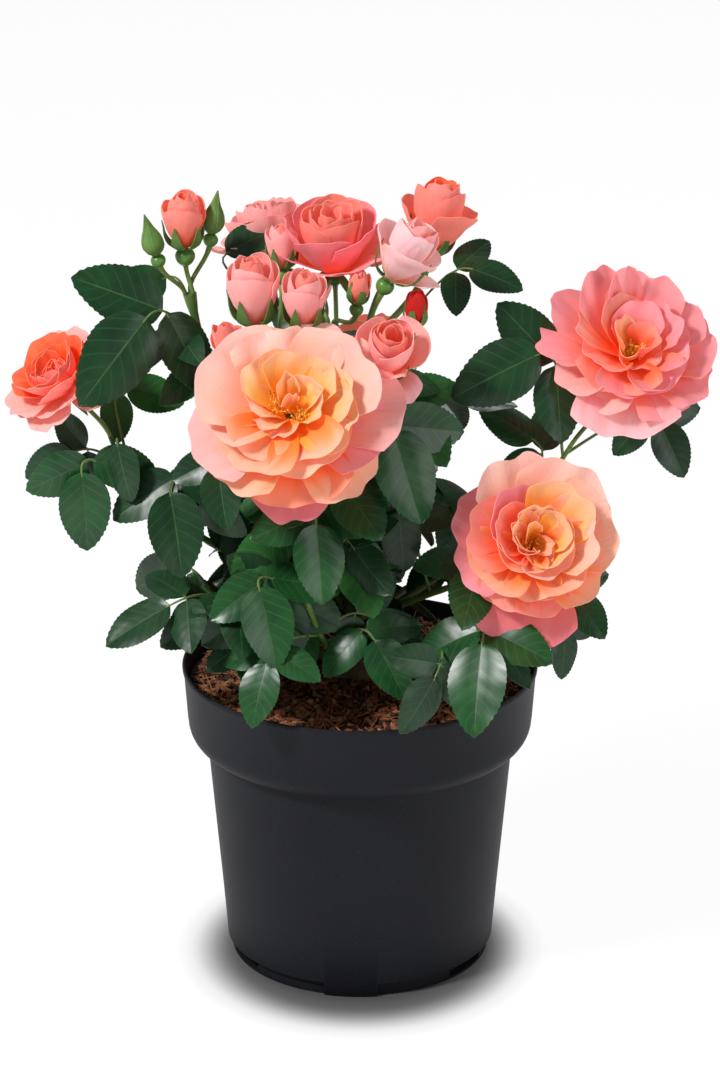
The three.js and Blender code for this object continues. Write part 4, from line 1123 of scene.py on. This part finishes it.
def make_foliage(skins, stalk_skin):
    """One piece for each mass of foliage, and one for all the leaves' stalks."""
    stalks = Heap()
    for number, name in enumerate(SHOOTS):
        rng = np.random.default_rng(300 + number)
        curve = shoot_curve(name)
        bare, reaching = SHOOTS[name][3], SHOOTS[name][6]
        rows = [(at, np.array(foot, float), np.array(tip, float), pairs)
                for at, foot, tip, pairs in reaching]
        for share, pairs in ((1, 1), (FINER_LEAVES, 2)):
            rows += [(*row, pairs) for row in ruled_leaves(name, number, share) if has_room(*row[1:])]
        blades = Heap()
        for at, foot, tip, pairs in rows:
            root = bezier(*curve, max(at, bare + 0.02))
            slot = int(rng.choice(3, p=SKIN_SHARES))
            add_leaf(blades, stalks, root, foot, tip, pairs, rng, slot)
        piece = blades.piece("foliage_" + name, skins)
        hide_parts("leaves_" + name)
    stalks.piece("leaf_stalks", [stalk_skin])


# ---------------------------------------------------------------- flowers

PETAL_FACES = np.vstack(sheet_faces(PETAL_ROWS, PETAL_COLUMNS))
SEPAL_FACES = np.vstack(sheet_faces(SEPAL_ROWS, SEPAL_COLUMNS))


def smooth(x, low, high):
    s = np.clip((x - low) / (high - low), 0, 1)
    return s * s * (3 - 2 * s)


def in_flower(places, to_flower):
    return places @ to_flower[:3, :3].T + to_flower[:3, 3]


def swung(radius, lateral, height, turn):
    """Places given by radius, sideways and height, turned about the flower's axis."""
    c, s = math.cos(turn), math.sin(turn)
    return np.stack([radius * c - lateral * s, radius * s + lateral * c, height], -1)


def petal_tip(vv, fall, rng):
    """How far a petal reaches across its breadth: rounded, a little notched and skewed."""
    broad = fall > 0.2
    notch = rng.uniform(0.0, 0.07) if broad else rng.uniform(-0.03, 0.02)
    skew = rng.uniform(-0.06, 0.06)
    tip = 1 - fall * np.abs(vv) ** 2.6 - notch * np.exp(-((vv - skew * 3) / 0.22) ** 2) + skew * vv
    return tip + (0.02 if broad else 0.006) * np.sin(vv * rng.uniform(6, 10) + skew * 50)


def petal_rise(reach, width, foot_radius, foot_height, lean, length):
    """Radius, height and lean of a petal's middle line, whose lean changes evenly from foot to tip."""
    first, last = np.radians(lean)
    fine = np.linspace(0, 1.1, 60)
    leaning = (first + (last - first) * fine)[1:]
    step = (fine[1] - fine[0]) * length * width
    radius = foot_radius * width + np.concatenate([[0], np.cumsum(np.sin(leaning) * step)])
    height = foot_height * width + np.concatenate([[0], np.cumsum(np.cos(leaning) * step)])
    return np.interp(reach, fine, radius), np.interp(reach, fine, height), first + (last - first) * reach


def petal_tints(reach, vv, phase, palette, rng):
    """Tints of a petal's inner and outer face: golden from the foot, then the middle, then the rim. On all
    but the pale petals the golden-orange band reaches far up, partly the rose's own golden foot and partly
    painted shade where the petals overlap.
    """
    foot, middle, edge, back = [linear(colour) for colour in PALETTES[palette]]
    streak = 0.05 * np.sin(vv * 17 + phase) + 0.03 * np.sin(vv * 31 + phase * 3)
    # The extra reach on petals that are not pale is painted orange shade between overlapping petals.
    golden_and_shade_end = rng.uniform(0.5, 0.66) + 0.2 * (palette not in PALE)
    golden = (1 - smooth(reach + streak, 0.1, golden_and_shade_end))[..., None]
    pink = smooth(reach + streak + 0.14 * vv ** 2, 0.5, 1.05)[..., None]
    inner = (middle * (1 - pink) + edge * pink) * (1 - golden) + foot * golden
    outer = back * (1 - 0.8 * golden) + foot * 0.8 * golden
    both = np.vstack([inner.reshape(-1, 3), outer.reshape(-1, 3)])
    return np.clip(both * rng.uniform(0.93, 1.03), 0, 1)


def add_petal(heap, to_flower, width, turn, shape, palette, rng, fall=0.3):
    """One petal: a fan that widens from its foot, cupped about the axis, its rim rolled and ruffled."""
    foot_radius, foot_height, lean, length, half, cup, roll, ruffle = shape
    along, across = np.linspace(0, 1, PETAL_ROWS) ** 0.9, np.linspace(-1, 1, PETAL_COLUMNS)
    uu, vv = np.meshgrid(along, across, indexing="ij")
    reach = uu * petal_tip(vv, fall, rng)
    fan = 0.24 + 0.76 * np.sin(np.clip(reach / 0.72, 0, 1) * math.pi / 2) ** 1.1
    spread = vv * half * width * fan * (1 - 0.1 * smooth(reach, 0.75, 1.1))
    radius, height, tilt = petal_rise(reach, width, foot_radius, foot_height, lean, length)
    bend = np.maximum(cup * np.maximum(radius, 0.09 * width), 0.001)
    swing = np.clip(spread / bend, -2.4, 2.4)
    rim = smooth(np.maximum(reach, np.abs(vv) * 0.9 * smooth(reach, 0.25, 0.7)), 0.6, 1.0)
    phase = rng.uniform(0, 6.28)
    ripple = np.sin(vv * rng.uniform(4.0, 7.5) + phase) * 0.7
    ripple = ripple + np.sin(vv * 11 + reach * 5 + phase * 2) * 0.3
    lift = bend * (1 - np.cos(swing)) - roll * width * rim
    lift = lift + ruffle * width * ripple * smooth(reach, 0.35, 1.0)
    lift = lift + (0.022 * vv + rng.uniform(-0.03, 0.03) * vv * rim) * width
    crease = np.exp(-(vv / 0.16) ** 2) * smooth(reach, 0.1, 0.6)
    lift = lift + rng.uniform(-0.012, 0.02) * width * crease
    grid = swung(radius - np.cos(tilt) * lift, bend * np.sin(swing), height + np.sin(tilt) * lift, turn)
    places = in_flower(sheet_places(grid, PETAL_THICKNESS / 2), to_flower)
    tint = petal_tints(reach, vv, phase, palette, rng)
    spot = np.stack([reach + phase, vv], -1).reshape(-1, 2)
    heap.add(places, PETAL_FACES, tint=tint, spot=np.vstack([spot, spot]))


def hip_radius(kind, width):
    return 2.6 + width * 0.14 if kind == "bud" else 5.8 if kind == "half" else 3.6 + width * 0.02


def flower_frame(kind, at, faces, width):
    """The frame of a flower: z along the way it faces, the origin where its petals start."""
    axis = Vector(faces).normalized()
    to_flower = np.eye(4)
    to_flower[:3, :3] = np.array(Vector((0, 0, 1)).rotation_difference(axis).to_matrix())
    to_flower[:3, 3] = np.array(at, float) - np.array(axis) * HIP_DEPTH[kind] * width
    return to_flower


def add_round(heap, to_flower, outline, sides):
    """A turned body about the flower's axis, closed at both ends."""
    outline = np.array(outline, float)
    radii, heights = outline[:, :1], np.repeat(outline[:, 1:], sides, 1)
    turns = np.arange(sides) * 2 * math.pi / sides
    places = np.stack([radii * np.cos(turns), radii * np.sin(turns), heights], -1).reshape(-1, 3)
    ends = [(0, 0, outline[0, 1]), (0, 0, outline[-1, 1])]
    heap.add(in_flower(np.vstack([places, ends]), to_flower), *ring_faces(len(outline), sides))


def add_sepal(heap, to_flower, turn, start, lean, length, half):
    """One sepal: a long pointed strip that starts at the hip's shoulder."""
    u = np.linspace(0, 1, SEPAL_ROWS)
    uu, vv = np.meshgrid(u, np.linspace(-1, 1, SEPAL_COLUMNS), indexing="ij")
    fullness = 0.75 + 0.6 * np.sin(np.clip(uu * 1.9, 0, 1) * math.pi / 2)
    lateral = vv * (half * fullness * (1 - uu ** 1.6) + 0.12)
    leaning = np.radians(np.interp(u, np.linspace(0, 1, len(lean)), lean))[:, None]
    step = length / (SEPAL_ROWS - 1)
    radius = start + np.vstack([[[0]], np.cumsum(np.sin(leaning[1:]) * step, axis=0)])
    height = np.vstack([[[0]], np.cumsum(np.cos(leaning[1:]) * step, axis=0)])
    lift = lateral ** 2 / (2.2 * np.maximum(radius, 2.5))
    grid = swung(radius - np.cos(leaning) * lift, lateral, height + np.sin(leaning) * lift, turn)
    heap.add(in_flower(sheet_places(grid, SEPAL_THICKNESS / 2), to_flower), SEPAL_FACES, slots=1)


def sepal_shape(kind, width, palette, number, rng):
    """Lean along a sepal in degrees, its length and its half breadth."""
    if palette == "green":
        return (72, 36, 4, -18, -28, -22, -10), width * 2.0, width * 0.30
    if kind == "bud" and width < SMALL_BUD:
        return (84, 44, 4, -14, -6), width * 1.4, width * 0.22
    if kind == "bud":
        return (88, 62, 24, 2, 12), width * 0.9, width * 0.15
    if kind == "half":
        lean = (92, 76, 52, 60, 90) if number % 2 else (90, 62, 26, 4, 10)
        return lean, 24 + rng.uniform(0, 10), 3.0
    return (96, 120, 132, 128, 110), 21 + rng.uniform(0, 6), 2.7


def add_green_parts(green, name, foot):
    """Stalk, hip and sepals of one flower."""
    shoot, kind, at, faces, width, palette = FLOWERS[name]
    rng = np.random.default_rng(900 + len(name) * 7 + int(at[0]))
    to_flower = flower_frame(kind, at, faces, width)
    axis = unit(faces)
    hip = hip_radius(kind, width)
    hip_low = to_flower[:3, 3] - axis * hip * 1.7
    start = bezier_way(*shoot_curve(shoot), 1.0)
    span = np.linalg.norm(hip_low - foot)
    stalk = (foot, foot + start * span * 0.3, hip_low - axis * span * 0.35, hip_low + axis * 1.5)
    t = np.linspace(0, 1, 18)
    radii = STALK_RADIUS * (1.7 if kind == "half" else 1.2) * (1 + 0.35 * smooth(t, 0.75, 1.0))
    add_tube(green, bezier(*stalk, t), radii, 8, 2)
    outline = [(max(0.2, hip * math.sin(a) * (1 - 0.12 * math.cos(a))), -hip * 0.95 * (1 + math.cos(a)))
               for a in np.linspace(0, math.pi, 11)]
    add_round(green, to_flower, outline, 16)
    first = rng.uniform(0, 1.2)
    for number in range(5):
        turn = first + number * 2 * math.pi / 5 + rng.uniform(-0.1, 0.1)
        shape = sepal_shape(kind, width, palette, number, rng)
        add_sepal(green, to_flower, turn, hip * (0.5 if kind == "bud" else 0.6), *shape)


def add_stamens(heap, to_flower, width, rng, tufts):
    """Golden threads with small heads in the heart of an open flower."""
    head = np.array([(-1, 0, 0), (0, -1, 0), (1, 0, 0), (0, 1, 0), (0, 0, 1.2), (0, 0, -1.2)]) * 0.75
    faces = [(0, 1, 4), (1, 2, 4), (2, 3, 4), (3, 0, 4), (1, 0, 5), (2, 1, 5), (3, 2, 5), (0, 3, 5)]
    for n in range(STAMENS * len(tufts)):
        turn = rng.uniform(0, 2 * math.pi)
        lean = math.radians(rng.uniform(4, 42))
        size = width * rng.uniform(0.08, 0.13)
        way = np.array((math.sin(lean) * math.cos(turn), math.sin(lean) * math.sin(turn), math.cos(lean)))
        tuft = tufts[n % len(tufts)]
        foot = np.array((way[0] * 2 + tuft[0], way[1] * 2 + tuft[1], 0.03 * width))
        line = in_flower(np.array([foot, foot + way * size * 0.6, foot + way * size]), to_flower)
        add_tube(heap, line, 0.28, 4, 1)
        heap.add(head + line[-1], None, faces, 2 if n % 3 else 3)


def add_whorls(heap, to_flower, flower, first, rng):
    """Whorls of like petals, every petal turned, leaned and sized a little its own way."""
    _, kind, _, _, width, palette = flower
    closed = kind in ("bud", "half")
    loose = kind in ("open", "cup")
    small = kind == "bud" and width < SMALL_BUD
    stretch = 0.8 if palette == "green" else 1.3 if small else 1.0
    fall = 0.3 if loose else 0.5 if small else 0.12
    for row, (count, foot, lift, lean, length, half, cup, roll, ruffle) in enumerate(WHORLS[kind]):
        shades = (INNER if row > 1 else {}) if closed else (OUTER if row < 2 else {})
        shade = shades.get(palette, palette)
        for n in range(count):
            turn = first + row * 0.62 + (n + rng.uniform(-0.2, 0.2)) * 2 * math.pi / count
            swing = (rng.uniform(-7, 7), rng.uniform(-16, 16)) if loose else (0, rng.uniform(-3, 3))
            own_lean = (lean[0] + swing[0], lean[1] + swing[1] - (12 if small else 0))
            size = stretch * (rng.uniform(0.86, 1.08) if loose else rng.uniform(0.97, 1.02))
            shape = (foot / 1000, lift / 1000, own_lean, length / 1000 * size,
                     half / 1000 * rng.uniform(0.92, 1.14), cup,
                     roll / 1000 * rng.uniform(0.4, 1.4), ruffle / 1000 * rng.uniform(0.8, 2.4))
            add_petal(heap, to_flower, width, turn, shape, shade, rng, fall)


def make_flower(name, number, petal, golden):
    flower = FLOWERS[name]
    _, kind, at, faces, width, _ = flower
    rng = np.random.default_rng(40 + number)
    to_flower = flower_frame(kind, at, faces, width)
    heap = Heap()
    first = rng.uniform(0, 1.0)
    if width < GREAT_BLOOM:
        add_whorls(heap, to_flower, flower, first, rng)
    for turn, lift, lean_foot, lean_tip, length, half, cup, roll, ruffle, shade in PETALS.get(name, []):
        shape = (PETAL_FOOT / 1000, lift / 1000, (lean_foot, lean_tip), length / 1000,
                 half / 1000, cup, roll / 1000, ruffle / 1000)
        add_petal(heap, to_flower, width, math.radians(turn), shape, shade, rng)
    if kind in ("open", "cup"):
        add_stamens(heap, to_flower, width, rng, TUFTS.get(name, [(0, 0)]))
    piece = heap.piece("petals_" + name, [petal, *golden])
    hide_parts(name)


# ---------------------------------------------------------------- stage

def make_floor():
    """A plain white floor that glows evenly, with a painted contact shadow: a soft dark oval round the
    pot's foot.
    """
    bpy.ops.object.select_all(action="DESELECT")
    bpy.ops.mesh.primitive_plane_add(size=60, location=(0, 0, -0.0004))
    floor = bpy.context.object
    floor.name = "floor"
    paper = Skin("floor_paper", 0.9, Base_Color=opaque((84, 84, 84)), Specular_IOR_Level=0.0,
                 Emission_Strength=0.96)
    # The emission colour carries the painted shadow: dark at the pot's foot, fading to white in an oval set
    # a little off centre.
    where = paper.node("TexCoord", {}).outputs["Object"]
    sockets = {"Vector": where, "Location": (0, 0.009, 0), "Scale": (1, 0.9, 1)}
    shadow_oval = paper.node("Mapping", sockets).outputs["Vector"]
    reach = paper.node("VectorMath", {0: shadow_oval}, operation="LENGTH").outputs["Value"]
    shadow_greys = [(at, (grey, grey, grey)) for at, grey in FLOOR_SHADOW_GREYS]
    paper.wear(Emission_Color=paper.ramp(reach, shadow_greys))
    floor.data.materials.append(paper.material)


def make_lights():
    world = bpy.data.worlds.new("studio")
    bpy.context.scene.world = world
    world.use_nodes = True
    world.node_tree.nodes["Background"].inputs["Color"].default_value = (1, 1, 1, 1)
    world.node_tree.nodes["Background"].inputs["Strength"].default_value = 0.19
    for name, place, size, power in LIGHTS:
        data = bpy.data.lights.new(name, "AREA")
        data.size = size
        data.energy = power
        lamp = bpy.data.objects.new(name, data)
        bpy.context.scene.collection.objects.link(lamp)
        lamp.location = place
        lamp.rotation_euler = (Vector(LIT_PLACE) - Vector(place)).to_track_quat("-Z", "Y").to_euler()


def make_camera():
    data = bpy.data.cameras.new("camera")
    data.lens = VIEW_LENS
    data.sensor_width = 36
    camera = bpy.data.objects.new("camera", data)
    bpy.context.scene.collection.objects.link(camera)
    distance = VIEW_DISTANCE * MM
    height = VIEW_HEIGHT * MM + distance * math.sin(VIEW_PITCH)
    camera.location = (0, -distance * math.cos(VIEW_PITCH), height)
    camera.rotation_euler = (math.pi / 2 - VIEW_PITCH, 0, 0)
    bpy.context.scene.camera = camera
    bpy.context.scene.view_settings.view_transform = "Standard"


# ---------------------------------------------------------------- the whole plant

def make_plant():
    make_pot(moulded_plastic())
    make_soil(tinted("damp_soil", 0.95, 120, (38, 22, 16), (92, 52, 32), 0.8, 0.002))
    make_litter([
        tinted("chip_rust", 0.9, 160, (112, 63, 37), (150, 90, 56)),
        tinted("chip_dark", 0.9, 160, (48, 30, 22), (84, 50, 34)),
        tinted("chip_tan", 0.9, 160, (140, 96, 64), (182, 134, 94)),
        tinted("fibre", 0.9, 160, (140, 84, 50), (178, 116, 74)),
    ])
    make_stub(tinted("woody_bark", 0.85, 90, (92, 76, 52), (140, 120, 84), 0.7, 0.001))
    make_limbs(
        tinted("cane_bark", 0.6, 60, (62, 84, 40), (104, 112, 58)),
        tinted("stem_green", 0.42, 50, (78, 118, 50), (108, 144, 70)),
        tinted("thorn", 0.5, 200, (140, 84, 56), (170, 116, 76)),
    )
    skins = [
        leaf_skin("leaf_deep", 0.34, (15, 47, 23), (24, 65, 32), (31, 73, 39), 0.42),
        leaf_skin("leaf_mid", 0.32, (21, 61, 29), (34, 85, 41), (42, 93, 48), 0.42),
        leaf_skin("leaf_young", 0.36, (34, 82, 35), (49, 107, 48), (57, 113, 54), 0.4),
        leaf_skin("leaf_under", 0.55, (44, 74, 44), (58, 90, 56), (72, 104, 68), 0.3),
        tinted("leaf_rib", 0.4, 90, (40, 74, 36), (56, 92, 46)),
        tinted("leaf_under_rib", 0.5, 90, (92, 122, 80), (110, 138, 92)),
    ]
    make_foliage(skins, tinted("leaf_stalk", 0.5, 80, (84, 110, 56), (120, 138, 76)))
    green = Heap()
    for shoot in SHOOTS:
        feet, _ = stalk_feet(shoot)
        for name, foot in feet.items():
            add_green_parts(green, name, foot)
    hips = green.piece("hips_and_stalks", [
        tinted("hip", 0.32, 70, (70, 118, 44), (98, 148, 62)),
        tinted("sepal", 0.6, 70, (74, 112, 50), (104, 138, 70), Specular_IOR_Level=0.2),
        tinted("flower_stalk", 0.45, 60, (88, 124, 50), (120, 148, 70)),
    ])
    petal = petal_skin()
    golden = [
        tinted("stamen_thread", 0.5, 200, (246, 196, 90), (252, 214, 120)),
        tinted("stamen_head", 0.6, 300, (232, 160, 40), (246, 190, 70)),
        tinted("stamen_old", 0.6, 300, (150, 84, 30), (190, 116, 44)),
    ]
    for number, name in enumerate(FLOWERS):
        make_flower(name, number, petal, golden)


make_plant()
make_floor()
make_lights()
make_camera()
